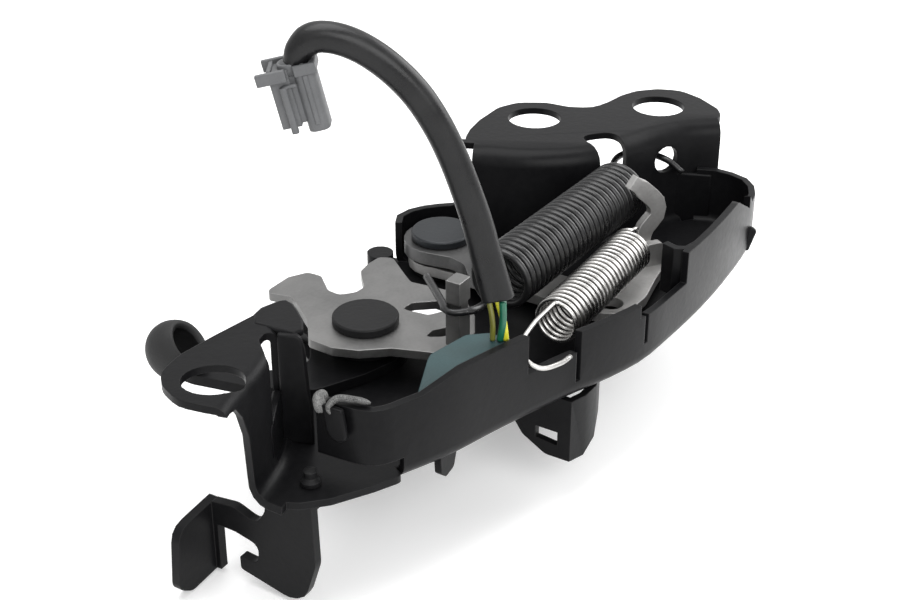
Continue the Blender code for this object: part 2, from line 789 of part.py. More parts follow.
def make_pawl_arm(mat):
    low = ARM_BOTTOM
    high = ARM_BOTTOM + ARM_THICKNESS
    outline = [polar(PAWL_PIVOT, 10.0, a) for a in range(-20, 201, 20)]
    outline += [(44.6, -4.0), (46.0, -24.0), (46.0, -46.0), (50.0, -53.0), (62.0, -53.2)]
    outline += [(75.0, -50.5), (86.0, -49.0), (86.0, -42.0), (76.0, -41.0), (64.5, -40.5)]
    outline += [(60.5, -30.0), (61.5, -10.0), (64.0, 2.0)]
    radii = [0] * 12 + [6, 6, 6, 5, 5, 3, 2, 2, 5, 6, 8, 8, 4]
    plate = prism(rounded(outline, radii), low, high)
    cut(plate, cylinder(PAWL_PIVOT, SHANK_RADIUS + GAP, low - 1, high + 1))
    cut(plate, cylinder((53.0, -46.5), 3.6, low - 1, high + 1, 18))

    # Upright plate and the waved finger formed up from the arm's end
    plate_edge = [(-6.0, 2.5), (6.0, 2.5), (5.0, 9.5), (2.2, 12.5), (-2.2, 12.5), (-5.4, 8.0)]
    upright = prism(rounded(plate_edge, 1.4), 0, FINGER_SHEET)
    upright.data.transform(Matrix.Rotation(math.radians(90), 4, "X"))
    upright.data.transform(Matrix.Rotation(math.radians(-35), 4, "Z"))
    upright.data.transform(Matrix.Translation((*FINGER, 0.0)))
    strip = smooth_path(FINGER_STRIP, 16)
    across = Vector((math.cos(math.radians(-32)), math.sin(math.radians(-32)), 0))
    along = Vector((-across.y, across.x, 0))
    rings = []
    for i, (shift, z) in enumerate(strip):
        ahead = strip[min(i + 1, 15)] - strip[max(i - 1, 0)]
        ahead = ahead / np.linalg.norm(ahead)
        middle = Vector((FINGER[0], FINGER[1], 0)) + across * shift + Vector((0, 0, z)) + along * 1.2
        narrow = 1.0 if i < 14 else 0.8
        wide = (across * ahead[1] - Vector((0, 0, ahead[0]))) * FINGER_WIDTH / 2 * narrow
        thick = along * FINGER_SHEET / 2
        corners = ((1, 1), (-1, 1), (-1, -1), (1, -1))
        rings.append([tuple(middle + wide * a + thick * b) for a, b in corners])
    finger = loft(rings)
    join(upright, finger)
    join(plate, upright)
    return place(plate, "pawl_arm", mat, pivot=(*PAWL_PIVOT, low))


RELEASE_LOW = -6.9
RELEASE_THICKNESS = 2.5


def make_release_arm(mat):
    """Below the floor, fixed on the pawl shaft's lower end; the pull cable hooks in its lowered tab."""
    low = RELEASE_LOW
    high = RELEASE_LOW + RELEASE_THICKNESS
    outline = [polar(PAWL_PIVOT, 10.0, a) for a in range(-110, 61, 20)]
    outline += [(52.0, 27.0), (42.0, 28.0), (41.0, 18.0)]
    plate = prism(rounded(outline, [0] * 9 + [4, 2, 4]), low, high)
    tab = [(18.2, high - 0.5), (28.0, high - 0.5), (28.0, -24.0), (25.0, -29.0), (20.5, -29.0), (18.2, -26.0)]
    drop = prism(rounded(tab, 1.8), 0.0, RELEASE_THICKNESS)
    drop.data.transform(Matrix(((0, 0, 1, 41.2), (1, 0, 0, 0), (0, 1, 0, 0), (0, 0, 0, 1))))
    join(plate, drop)
    slot = box((38.0, 22.0, -26.5), (48.0, 24.6, -20.0))
    cut(plate, slot)
    return place(plate, "release_arm", mat, pivot=(*PAWL_PIVOT, low))


def make_pawl_shaft(mat):
    """Headed shaft that turns in the floor and carries the pawl, its arm and the release arm."""
    top = CATCH_BOTTOM + CATCH_THICKNESS + GAP + HEAD_HEIGHT
    head_low = top - HEAD_HEIGHT
    body = turned(PAWL_PIVOT, [
        (0, RELEASE_LOW + RELEASE_THICKNESS + GAP),
        (SHANK_RADIUS, RELEASE_LOW + RELEASE_THICKNESS + GAP),
        (SHANK_RADIUS, head_low),
        (HEAD_RADIUS, head_low),
        (HEAD_RADIUS, top - HEAD_EDGE),
        (HEAD_RADIUS - HEAD_EDGE, top),
        (0, top),
    ])
    return place(body, "pawl_rivet", mat, pivot=(*PAWL_PIVOT, 0.0))


# Safety lever

def make_safety_lever(mat):
    low = GAP
    high = GAP + SAFETY_THICKNESS
    outline = [polar(CATCH_PIVOT, 11.0, a) for a in range(-100, 31, 26)]
    outline += [(8.0, 22.0), (14.5, 27.5), (13.0, 31.5), (5.0, 33.5), (0.0, 30.0), (-4.0, 16.0)]
    outline += [(-14.0, 8.5), (-21.0, 9.0), (-28.0, 23.0), (-31.8, 41.0), (-36.5, 40.5), (-36.5, 30.0)]
    outline += [(-33.0, 14.0), (-25.5, -1.5), (-12.0, -8.0)]
    radii = [0] * 6 + [4, 1.5, 2, 2, 4, 5, 5, 6, 5, 1.5, 1.5, 5, 5, 6, 5]
    plate = prism(rounded(outline, radii), low, high)
    cut(plate, cylinder(CATCH_PIVOT, SHANK_RADIUS + GAP, low - 1, high + 1))
    return place(plate, "safety_lever", mat, pivot=(*CATCH_PIVOT, low))


def make_cap(mat):
    """Soft moulded cap: a rounded hollow nose pushed over the lever's end."""
    rings = []
    steps = 9
    aim = Vector((-0.22, 0.975, 0.0))
    side = Vector((aim.y, -aim.x, 0.0))
    start = Vector(CAP_CENTRE) - aim * CAP_LENGTH / 2
    for i in range(steps):
        t = i / (steps - 1)
        bulge = math.sqrt(max(0.04, 1 - (1.5 * t - 0.5) ** 2 if t > 0.33 else 1.0))
        centre = start + aim * CAP_LENGTH * t
        ring = []
        for k in range(16):
            a = 2 * math.pi * k / 16
            squared = 0.82 + 0.18 * abs(math.sin(2 * a))
            across = side * math.cos(a) * CAP_WIDTH / 2 * bulge * squared * 1.05
            rise = Vector((0, 0, math.sin(a) * CAP_HEIGHT / 2 * bulge * squared * 1.05))
            ring.append(tuple(centre + across + rise))
        rings.append(ring)
    cap = loft(rings)
    hollow_rings = []
    for reach, shrink in ((-1.0, 1.0), (CAP_GRIP, 0.85)):
        centre = start + aim * reach
        hollow_rings.append([
            tuple(
                centre
                + side * math.cos(2 * math.pi * k / 12) * (CAP_WIDTH / 2 - CAP_WALL) * shrink
                + Vector((0, 0, math.sin(2 * math.pi * k / 12) * (CAP_HEIGHT / 2 - CAP_WALL) * shrink))
            )
            for k in range(12)
        ])
    cut(cap, loft(hollow_rings))
    socket = [(-26.4, 20.6), (-31.3, 41.6), (-37.1, 41.1), (-37.1, 20.0)]
    cut(cap, prism(socket, -2.0, GAP + SAFETY_THICKNESS + GAP))
    return place(cap, "lever_cap", mat, sharp_deg=50)


# Springs

def coil(start, end, radius, turns, steps, phase_deg):
    """Points of a helix from start to end."""
    axis = (Vector(end) - Vector(start)).normalized()
    up = (Vector((0, 0, 1)) - axis * axis.z).normalized()
    side = axis.cross(up)
    points = []
    for k in range(turns * steps + 1):
        t = k / (turns * steps)
        a = math.radians(phase_deg) + 2 * math.pi * turns * t
        centre = Vector(start).lerp(Vector(end), t)
        points.append(centre + up * radius * math.cos(a) + side * radius * math.sin(a))
    return points


def make_catch_spring(mat):
    body = coil(*CATCH_SPRING_AXIS, CATCH_SPRING_RADIUS, CATCH_SPRING_TURNS, 14, 180.0)
    x, y = POST
    hook_z = POST_GROOVE
    clear = POST_DEPTH / 2 + CATCH_SPRING_WIRE + GAP
    side_clear = POST_WIDTH / 2 - POST_GROOVE_DEPTH + CATCH_SPRING_WIRE + GAP
    front = smooth_path([
        (14.0, -10.5, hook_z - 0.5),
        (9.0, -16.0, hook_z - 0.3),
        (x - 0.2, y + clear + 1.5, hook_z),
        (x - side_clear - 1.2, y, hook_z),
        (x - 0.4, y - clear - 1.0, hook_z),
        (x + 7.0, y - 3.6, hook_z - 2.0),
        (19.5, -26.5, 15.5),
    ], 18)
    back = smooth_path([
        (94.2, -29.2, 14.0),
        (98.5, -25.2, 17.6),
        (104.5, -20.0, 20.2),
        (112.0, -18.5, 21.5),
        (118.0, -22.5, 21.8),
        (118.6, -31.5, 21.0),
        (118.8, -37.2, 17.8),
    ], 14)
    points = [tuple(p) for p in front] + [tuple(p) for p in body] + [tuple(p) for p in back]
    return place(wire(points, CATCH_SPRING_WIRE, 6), "catch_spring", mat, sharp_deg=70)


def make_pawl_spring(mat):
    body = coil(*PAWL_SPRING_AXIS, PAWL_SPRING_RADIUS, PAWL_SPRING_TURNS, 12, 0.0)
    front = smooth_path([
        (8.0, -57.6, WALL_NOTCH_BOTTOM + 1.6),
        (4.0, -56.8, WALL_NOTCH_BOTTOM + 1.3),
        (-0.6, -54.0, WALL_NOTCH_BOTTOM + 1.3),
        (-1.6, -50.0, WALL_NOTCH_BOTTOM + 3.0),
        (1.0, -47.0, 17.5),
        (9.0, -46.0, 19.4),
        (17.0, -46.0, 20.2),
    ], 14)
    back = smooth_path([
        (71.5, -44.5, 20.4),
        (74.2, -43.4, 17.0),
        (75.2, -41.2, 13.0),
        (77.5, -38.6, 10.0),
        (81.5, -38.8, 9.0),
    ], 9)
    points = [tuple(p) for p in front] + [tuple(p) for p in body] + [tuple(p) for p in back]
    return place(wire(points, PAWL_SPRING_WIRE, 6), "pawl_spring", mat, sharp_deg=70)


# Brackets below the floor

def make_cable_holder(mat):
    """A hook-shaped plate across the cable, with an open slot for the sheath and a turned guard."""
    top = -SHEET - GAP
    bottom = HOLDER_BOTTOM
    outline = [
        (-26.0, top), (-26.5, -20.0), (-23.0, bottom + 2.0), (-18.0, bottom), (-8.0, bottom + 2.0),
        (-3.0, -30.0), (-3.0, -26.0), (-8.5, -26.5), (-9.5, -20.5), (-2.0, -19.0), (5.0, -19.0), (5.0, -12.5),
        (-2.0, -11.5), (-9.0, -14.0), (-12.0, -9.0), (-12.0, top),
    ]
    radii = [1, 7, 7, 6, 3, 1, 0.5, 2.5, 3, 0, 0.3, 0.3, 4, 3, 4, 1]
    plate = prism(rounded(outline, radii), 0, HOLDER_SHEET)
    guard_edge = [(0, -12.5), (-15.0, -14.0), (-16.5, -31.0), (-12.0, -34.0), (0, -33.0)]
    guard = prism(rounded(guard_edge, [0.3, 5, 3, 3, 0.3]), 0, HOLDER_SHEET)
    guard.data.transform(Matrix.Rotation(math.radians(90), 4, "X"))
    guard.data.transform(Matrix.Translation((HOLDER_X + HOLDER_SHEET, 5.0 + HOLDER_SHEET - 0.01, 0.0)))
    plate.data.transform(Matrix(((0, 0, 1, HOLDER_X), (1, 0, 0, 0), (0, 1, 0, 0), (0, 0, 0, 1))))
    far = HOLDER_X + HOLDER_SHEET
    join(plate, box((HOLDER_X, 3.0, -33.0), (far, 5.0 + HOLDER_SHEET - 0.5, -12.6)))
    cut(plate, box((HOLDER_X - 1, -3.0, -34.5), (far + 1, 3.5, -19.2)))
    join(plate, guard)
    foot = rounded([(-60.8, -25.8), (-52.0, -25.8), (-50.0, -20.0), (-60.8, -14.5)], [0.3, 2, 2, 0.3])
    join(plate, prism(foot, top - HOLDER_SHEET, top))
    return place(plate, "cable_holder", mat)


def make_clip_bracket(mat):
    """A small angle below the front wall, with a rectangular window and a curled end."""
    top = -SHEET - GAP
    web_edge = [(-56.5, top), (-38.5, top), (-38.5, -12.0)]
    web_edge += [(-42.0, -17.0), (-49.0, CLIP_BOTTOM), (-56.5, CLIP_BOTTOM)]
    web = prism(rounded(web_edge, [0.3, 0.3, 3, 3, 4, 0.3]), 0, CLIP_SHEET)
    cut(web, prism([(-46.0, -16.5), (-46.0, -13.0), (-52.6, -13.0), (-52.6, -17.2)], -1, CLIP_SHEET + 1))
    web.data.transform(Matrix(((0, 0, 1, CLIP_X), (1, 0, 0, 0), (0, 1, 0, 0), (0, 0, 0, 1))))
    face_plan = [(0.3, -56.5), (5.0, -58.0), (11.0, -58.0), (17.0, -56.0), (21.0, -52.5)]
    face_path = [(CLIP_X + x, y) for x, y in face_plan]
    low_z = [CLIP_BOTTOM, CLIP_BOTTOM, CLIP_BOTTOM + 2.5, CLIP_BOTTOM + 7.0, CLIP_BOTTOM + 12.5]
    rings = []
    for point, normal, low in zip(face_path, mitred(face_path), low_z):
        rings.append([
            (point[0], point[1], low), (point[0], point[1], top),
            (point[0] + normal.x * CLIP_SHEET, point[1] + normal.y * CLIP_SHEET, top),
            (point[0] + normal.x * CLIP_SHEET, point[1] + normal.y * CLIP_SHEET, low),
        ])
    join(web, loft(rings))
    return place(web, "clip_bracket", mat)


STOP_STRAP = ((-51.8, -20.6), (-46.4, -20.6), (-45.8, -30.6), (-43.8, -34.2), (-47.4, -36.8), (-51.2, -31.5))
STOP_SHEET = 1.6
STOP_TAB_LOW = (-52.2, -29.4, 12.0)
STOP_TAB_HIGH = (-50.4, -24.2, 21.4)


def make_stop_clip(mat):
    """A strap that lies along the left wall's top edge, with a tab that hangs outside."""
    low = LEFT_WALL_TOP + GAP
    strap = prism(rounded(STOP_STRAP, 1.4), low, low + STOP_SHEET)
    join(strap, box(STOP_TAB_LOW, STOP_TAB_HIGH))
    return place(strap, "stop_clip", mat)


def make_holder_pin(mat):
    profile = [(0, GAP), (2.6, GAP), (2.6, 1.4), (1.7, 2.2), (1.7, 4.0), (0, 4.4)]
    body = turned((-56.0, -22.5), profile, 12)
    return place(body, "holder_rivet", mat)


# Switch and harness

SWITCH_FOOT = ((-29.0, -37.4), (-22.0, -35.0), (-9.0, -37.2), (-8.0, -42.4), (-24.0, -39.6))
SWITCH_OUTLINE = (
    (-33.5, -37.0),
    (-22.0, -34.0),
    (-8.5, -36.5),
    (-4.5, -41.0),
    (-4.5, -47.4),
    (-11.0, -45.8),
    (-27.0, -41.5),
)
SWITCH_CORNERS = (1.5, 3.0, 2.0, 1.5, 0.6, 0.6, 0.6)
PLUNGER_AT = (-14.0, -30.6, 12.0)


def make_switch(mat):
    body = prism(rounded(SWITCH_OUTLINE, SWITCH_CORNERS), SWITCH_BOTTOM, SWITCH_TOP)
    join(body, prism(SWITCH_FOOT, GAP, SWITCH_BOTTOM + 1.0))
    cut(body, turned_bore())
    ramp = prism([(0, 0), (-12, -8), (-12, 2), (0, 2)], -20, 20)
    ramp.data.transform(Matrix.Rotation(math.radians(90), 4, "X"))
    ramp.data.transform(Matrix.Translation((-21.0, -38.0, SWITCH_TOP)))
    cut(body, ramp)
    return place(body, "switch_body", mat)


def turned_bore():
    bore = prism(circle((0, 0), PLUNGER_RADIUS + GAP, 14), 0, 6)
    bore.data.transform(Matrix.Rotation(math.radians(90), 4, "X"))
    bore.data.transform(Matrix.Translation((PLUNGER_AT[0], -33.5, PLUNGER_AT[2])))
    return bore


def make_plunger(mat):
    pin = prism(circle((0, 0), PLUNGER_RADIUS, 14), 0, 7)
    pin.data.transform(Matrix.Rotation(math.radians(90), 4, "X"))
    pin.data.transform(Matrix.Translation(PLUNGER_AT))
    return place(pin, "switch_plunger", mat, pivot=PLUNGER_AT)


def make_wire(name, route, mat):
    points = [tuple(p) for p in smooth_path(route, 9)]
    return place(wire(points, WIRE_DIAMETER / 2, 8), name, mat, sharp_deg=60)


def make_sleeve(mat):
    route = smooth_path(SLEEVE_ROUTE, 34)
    curve = bpy.data.curves.new("harness_sleeve", "CURVE")
    curve.dimensions = "3D"
    curve.bevel_depth = SLEEVE_DIAMETER / 2 * MM
    curve.bevel_resolution = 3
    curve.use_fill_caps = True
    spline = curve.splines.new("POLY")
    spline.points.add(len(route) - 1)
    for point, where in zip(spline.points, route):
        point.co = (*(Vector(where) * MM), 1.0)
    curve.materials.append(mat)
    obj = bpy.data.objects.new("harness_sleeve", curve)
    bpy.context.scene.collection.objects.link(obj)
    obj.parent = FRAME
    return obj


def make_connector(mat):
    """A flanged two-way housing that hangs from the sleeve."""
    top = CONNECTOR_TOP
    low = top - CONNECTOR_HEIGHT
    w = CONNECTOR_WIDTH / 2
    d = CONNECTOR_DEPTH / 2
    def block(x0, x1, half, low_z, high_z, corner):
        outline = [(x0, -half), (x1, -half), (x1, half), (x0, half)]
        return prism(rounded(outline, corner), low_z, high_z)

    shell = block(-w + 1.5, w - 1.0, d, low + 2.0, top, 1.6)
    nose = block(0.0, w - 1.4, d - 0.8, low, low + 3.0, 2.2)
    flange = block(-w, w, d + 1.6, top - 2.6, top - 0.4, 1.0)
    rib = prism([(-1.5, -d - 1.8), (0.8, -d - 1.8), (0.8, -d + 1), (-1.5, -d + 1)], low + 3.5, top - 7.0)
    join(shell, nose, flange, rib)
    cut(shell, block(-w + 3.0, -1.0, d - 1.4, top - 6.0, top + 1, 0))
    cut(shell, prism(circle((2.6, 0.0), 2.6, 16), top - 6.0, top + 1))
    cut(shell, block(w - 1.8, w + 1, 1.0, low + 4, top - 4, 0))
    turn = Matrix.Rotation(math.radians(CONNECTOR_TURN_DEG), 4, "Z")
    shell.data.transform(Matrix.Translation((*CONNECTOR_CENTRE, 0.0)) @ turn)
    return place(shell, "connector_housing", mat)


def main():
    global FRAME
    clear_scene()
    FRAME = bpy.data.objects.new("latch_frame", None)
    FRAME.location = Vector((-EAR_MOUNT[0], -EAR_MOUNT[1], -EAR_TOP)) * MM
    bpy.context.scene.collection.objects.link(FRAME)
    black = (0.022, 0.022, 0.024)
    zinc = (0.42, 0.41, 0.40)
    top = CATCH_BOTTOM + CATCH_THICKNESS + GAP + HEAD_HEIGHT
    make_base(material("black_coat", black, 0.35, 0.3))
    make_rivet("catch_rivet", CATCH_PIVOT, material("rivet_black", (0.03, 0.03, 0.03), 0.5, 0.6), top)
    spacer = material("spacer_steel", (0.2, 0.2, 0.2), 0.4, 1.0)
    make_spacer("catch_spacer", CATCH_PIVOT, 2 * GAP + SAFETY_THICKNESS, CATCH_BOTTOM - GAP, spacer)
    make_spacer("pawl_spacer_low", PAWL_PIVOT, GAP, ARM_BOTTOM - GAP, spacer)
    make_spacer("pawl_spacer_high", PAWL_PIVOT, ARM_BOTTOM + ARM_THICKNESS + GAP, CATCH_BOTTOM - GAP, spacer)
    make_catch(material("catch_zinc", zinc, 0.35, 0.9))
    make_pawl(material("pawl_zinc", (0.3, 0.3, 0.3), 0.4, 0.9))
    make_pawl_arm(material("arm_zinc", (0.45, 0.44, 0.43), 0.45, 0.8))
    make_release_arm(material("release_black", black, 0.4, 0.3))
    make_pawl_shaft(material("shaft_dark", (0.05, 0.055, 0.06), 0.35, 0.7))
    make_safety_lever(material("lever_black", black, 0.4, 0.3))
    make_cap(material("cap_rubber", (0.06, 0.06, 0.062), 0.7, 0.0))
    make_catch_spring(material("spring_black", (0.03, 0.03, 0.03), 0.3, 0.7))
    make_pawl_spring(material("spring_bright", (0.6, 0.6, 0.58), 0.25, 1.0))
    make_cable_holder(material("holder_black", black, 0.4, 0.3))
    make_clip_bracket(material("clip_black", black, 0.4, 0.3))
    make_stop_clip(material("stop_steel", (0.25, 0.25, 0.25), 0.5, 0.8))
    make_holder_pin(material("holder_rivet_steel", (0.1, 0.1, 0.1), 0.4, 0.8))
    make_switch(material("switch_teal", (0.06, 0.13, 0.14), 0.5, 0.0))
    make_plunger(material("plunger_black", (0.03, 0.03, 0.03), 0.5, 0.0))
    for name, colour, route in (
        ("green", (0.01, 0.2, 0.1), ((-6.8, -44.6), (-6.4, -45.0), (-6.0, -45.4))),
        ("yellow", (0.7, 0.65, 0.04), ((-6.4, -42.0), (-6.2, -42.4), (-6.4, -43.2))),
        ("olive", (0.25, 0.25, 0.05), ((-9.0, -43.2), (-8.8, -43.6), (-8.2, -44.6))),
    ):
        path = [(*point, z) for point, z in zip(route, (SWITCH_TOP + GAP, 27.0, 32.4))]
        make_wire("wire_" + name, path, material(name, colour, 0.5, 0.0))
    make_sleeve(material("sleeve_black", (0.03, 0.03, 0.032), 0.4, 0.0))
    make_connector(material("connector_grey", (0.17, 0.17, 0.17), 0.5, 0.0))


main()
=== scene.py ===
import math

import bmesh
import bpy
import numpy as np
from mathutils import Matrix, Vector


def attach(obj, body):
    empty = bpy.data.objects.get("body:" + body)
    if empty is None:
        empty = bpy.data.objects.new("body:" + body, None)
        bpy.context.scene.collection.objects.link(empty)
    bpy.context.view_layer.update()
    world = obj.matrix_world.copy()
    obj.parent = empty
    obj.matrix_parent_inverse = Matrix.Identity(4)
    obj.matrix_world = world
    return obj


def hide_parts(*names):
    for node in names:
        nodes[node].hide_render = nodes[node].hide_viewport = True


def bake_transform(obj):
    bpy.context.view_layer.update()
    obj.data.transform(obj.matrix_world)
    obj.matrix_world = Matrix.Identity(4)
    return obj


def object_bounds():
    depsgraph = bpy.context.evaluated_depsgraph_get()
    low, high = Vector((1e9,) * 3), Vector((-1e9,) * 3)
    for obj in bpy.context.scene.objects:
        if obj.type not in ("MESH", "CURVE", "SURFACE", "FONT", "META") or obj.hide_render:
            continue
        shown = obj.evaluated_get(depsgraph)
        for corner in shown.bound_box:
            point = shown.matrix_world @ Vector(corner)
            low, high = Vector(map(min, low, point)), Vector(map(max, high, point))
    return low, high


"""Looks of the bonnet latch: its finishes, wound springs, soft cap, harness sleeve and plug.

Lengths are millimetres in the latch frame (origin on the catch rivet's axis at the floor's top);
row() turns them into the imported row's metres.
"""

MM = 0.001
ORIGIN = np.array([61.0, -3.0, -31.0])
FRAME_BODY = "frame"
SHEET_SHARP_DEG = 34.0
BLOCK_SHARP_DEG = 40.0
MERGE_METRES = 2e-6
CURVE_STEPS = 40
BEVEL_SEGMENTS = 2

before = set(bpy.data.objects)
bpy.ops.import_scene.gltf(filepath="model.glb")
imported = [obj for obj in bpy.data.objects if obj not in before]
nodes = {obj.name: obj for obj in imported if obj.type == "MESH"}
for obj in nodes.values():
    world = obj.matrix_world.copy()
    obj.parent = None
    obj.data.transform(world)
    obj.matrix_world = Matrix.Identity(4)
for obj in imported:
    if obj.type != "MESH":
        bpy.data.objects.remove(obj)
cad_box = [list(corner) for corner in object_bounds()]


def row(points):
    """Latch-frame millimetres to the row's metres: add the mount's offset, then scale."""
    return (np.asarray(points, float) + ORIGIN) * MM


# Camera at the photograph's angle
CAMERA_AT = (-303.6, -216.3, 221.9)
CAMERA_PITCH = 61.2
CAMERA_HEADING = -58.0
CAMERA_LENS = 64.0
CAMERA_SENSOR = 36.0
CAMERA_NEAREST_METRES = 0.01
camera_data = bpy.data.cameras.new("photo_camera")
camera_data.lens = CAMERA_LENS
camera_data.sensor_width = CAMERA_SENSOR
camera_data.clip_start = CAMERA_NEAREST_METRES
camera = bpy.data.objects.new("photo_camera", camera_data)
camera.location = row(CAMERA_AT)
camera.rotation_euler = (math.radians(CAMERA_PITCH), 0.0, math.radians(CAMERA_HEADING))
bpy.context.scene.collection.objects.link(camera)
bpy.context.scene.camera = camera
bpy.context.scene.view_settings.view_transform = "Standard"


# Surfaces

def smooth_path(points, count):
    """count points evenly spaced along a Catmull-Rom curve: the cubic through each pair of
    points whose slope at a point is half the step between its neighbours."""
    pts = np.asarray(points, float)
    ends = np.vstack([2 * pts[0] - pts[1], pts, 2 * pts[-1] - pts[-2]])
    p0, p1, p2, p3 = (ends[k : len(ends) - 3 + k, None, :] for k in range(4))
    t = np.linspace(0, 1, CURVE_STEPS, endpoint=False)[None, :, None]
    fine = 0.5 * (
        2 * p1 + (p2 - p0) * t + (2 * p0 - 5 * p1 + 4 * p2 - p3) * t**2
        + (3 * p1 - p0 - 3 * p2 + p3) * t**3
    )
    fine = np.vstack([fine.reshape(-1, pts.shape[1]), pts[-1:]])
    run = np.concatenate([[0], np.cumsum(np.linalg.norm(np.diff(fine, axis=0), axis=1))])
    wanted = np.linspace(0, run[-1], count)
    return np.stack([np.interp(wanted, run, fine[:, k]) for k in range(pts.shape[1])], axis=1)


def carried_frames(path, first=None):
    """Two unit normals at each station of a path. The first is the last station's one with the
    new direction's share taken away, so that a section carried along the path never twists."""
    ahead = np.gradient(path, axis=0)
    ahead /= np.linalg.norm(ahead, axis=1, keepdims=True)
    up = np.zeros_like(path)
    first = np.cross(ahead[0], [0.0, 0.0, 1.0]) if first is None else np.asarray(first, float)
    if np.linalg.norm(first) < 0.1:
        first = np.cross(ahead[0], [1.0, 0.0, 0.0])
    for i in range(len(path)):
        first = first - ahead[i] * first.dot(ahead[i])
        first = first / np.linalg.norm(first)
        up[i] = first
    return up, np.cross(ahead, up)


def signed_volume(mesh):
    """A sixth of the sum of each triangle's triple product."""
    mesh.calc_loop_triangles()
    points = np.zeros(len(mesh.vertices) * 3)
    mesh.vertices.foreach_get("co", points)
    corners = np.zeros(len(mesh.loop_triangles) * 3, int)
    mesh.loop_triangles.foreach_get("vertices", corners)
    return np.linalg.det(points.reshape(-1, 3)[corners.reshape(-1, 3)]).sum() / 6


def face_outwards(mesh):
    """Turns a closed mesh's faces round where they point into it."""
    if signed_volume(mesh) < 0:
        mesh.flip_normals()


def show(name, mesh):
    """A new object at the origin with the mesh in it."""
    obj = bpy.data.objects.new(name, mesh)
    bpy.context.scene.collection.objects.link(obj)
    return obj


def piece(name, grid, material, uv=None):
    """A surface from a grid of points [station, around, xyz] in latch millimetres: neighbours
    make quads, the rings close round, and a cap fans each end to its middle."""
    stations, around = grid.shape[:2]
    verts = row(grid.reshape(-1, 3))
    i, j = np.meshgrid(np.arange(stations - 1), np.arange(around), indexing="ij")
    here, after = i * around, (j + 1) % around
    quads = np.stack([here + j, here + after, here + around + after, here + around + j], axis=-1)
    count = stations * around
    ends = np.stack([grid[0].mean(axis=0), grid[-1].mean(axis=0)])
    verts = np.vstack([verts, row(ends)])
    ring = np.arange(around)
    following = (ring + 1) % around
    top = (stations - 1) * around
    low = np.stack([following, ring, np.full(around, count)], axis=-1)
    high = np.stack([top + ring, top + following, np.full(around, count + 1)], axis=-1)
    faces = quads.reshape(-1, 4).tolist() + low.tolist() + high.tolist()
    mesh = bpy.data.meshes.new(name)
    mesh.from_pydata(verts.tolist(), [], faces)
    face_outwards(mesh)
    mesh.polygons.foreach_set("use_smooth", np.ones(len(mesh.polygons), bool))
    if uv is not None:
        layer = mesh.uv_layers.new(name="run")
        loops = np.zeros(len(mesh.loops), int)
        mesh.loops.foreach_get("vertex_index", loops)
        padded = np.vstack([uv.reshape(-1, 2), uv[0, :1], uv[-1, :1]])
        layer.data.foreach_set("uv", padded[loops].ravel())
    mesh.materials.append(material)
    return show(name, mesh)


def copy_of(name):
    """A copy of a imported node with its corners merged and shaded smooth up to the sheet's angle."""
    mesh = nodes[name].data.copy()
    mesh.name = name + "_finished"
    work = bmesh.new()
    work.from_mesh(mesh)
    bmesh.ops.remove_doubles(work, verts=work.verts, dist=MERGE_METRES)
    work.to_mesh(mesh)
    work.free()
    for stored in ("custom_normal", "sharp_edge", "sharp_face"):
        if stored in mesh.attributes:
            mesh.attributes.remove(mesh.attributes[stored])
    obj = show(name + "_finished", mesh)
    soften(obj, SHEET_SHARP_DEG)
    return obj


def soften(obj, sharp_deg):
    """Smooth shading, with a hard edge wherever two faces meet at more than the angle."""
    obj.data.shade_smooth()
    obj.data.set_sharp_from_angle(angle=math.radians(sharp_deg))


def block(outline, low, high):
    """Corner points and faces of an outline in a local plan, raised from low to high."""
    outline = np.asarray(outline, float)
    count = len(outline)
    points = np.vstack([np.column_stack([outline, np.full(count, z)]) for z in (low, high)])
    ring = np.arange(count)
    after = (ring + 1) % count
    sides = np.stack([ring, after, after + count, ring + count], axis=-1).tolist()
    return points, [ring[::-1].tolist(), (ring + count).tolist()] + sides


def made_of_blocks(name, blocks, at, axes, material, bevel=0.0):
    """Closed blocks in one object, set out from a point along three axes given in latch
    millimetres. The bevel rounds their edges."""
    points, faces = [], []
    start = 0
    for corners, polygons in blocks:
        points.append(corners)
        faces += [[start + k for k in polygon] for polygon in polygons]
        start += len(corners)
    places = np.asarray(at, float) + np.vstack(points) @ np.asarray(axes, float)
    mesh = bpy.data.meshes.new(name)
    mesh.from_pydata(row(places).tolist(), [], faces)
    face_outwards(mesh)
    mesh.materials.append(material)
    obj = show(name, mesh)
    if bevel:
        rounding = obj.modifiers.new("rounding", "BEVEL")
        rounding.width = bevel * MM
        rounding.segments = BEVEL_SEGMENTS
        rounding.limit_method = "ANGLE"
        rounding.angle_limit = math.radians(BLOCK_SHARP_DEG)
    soften(obj, BLOCK_SHARP_DEG)
    return obj


def cut_away(obj, tool):
    """Takes the tool's volume out of the object and removes the tool."""
    modifier = obj.modifiers.new("cut", "BOOLEAN")
    modifier.operation = "DIFFERENCE"
    modifier.solver = "EXACT"
    modifier.object = tool
    graph = bpy.context.evaluated_depsgraph_get()
    graph.update()
    mesh = bpy.data.meshes.new_from_object(obj.evaluated_get(graph))
    obj.modifiers.clear()
    obj.data = mesh
    bpy.data.objects.remove(tool, do_unlink=True)


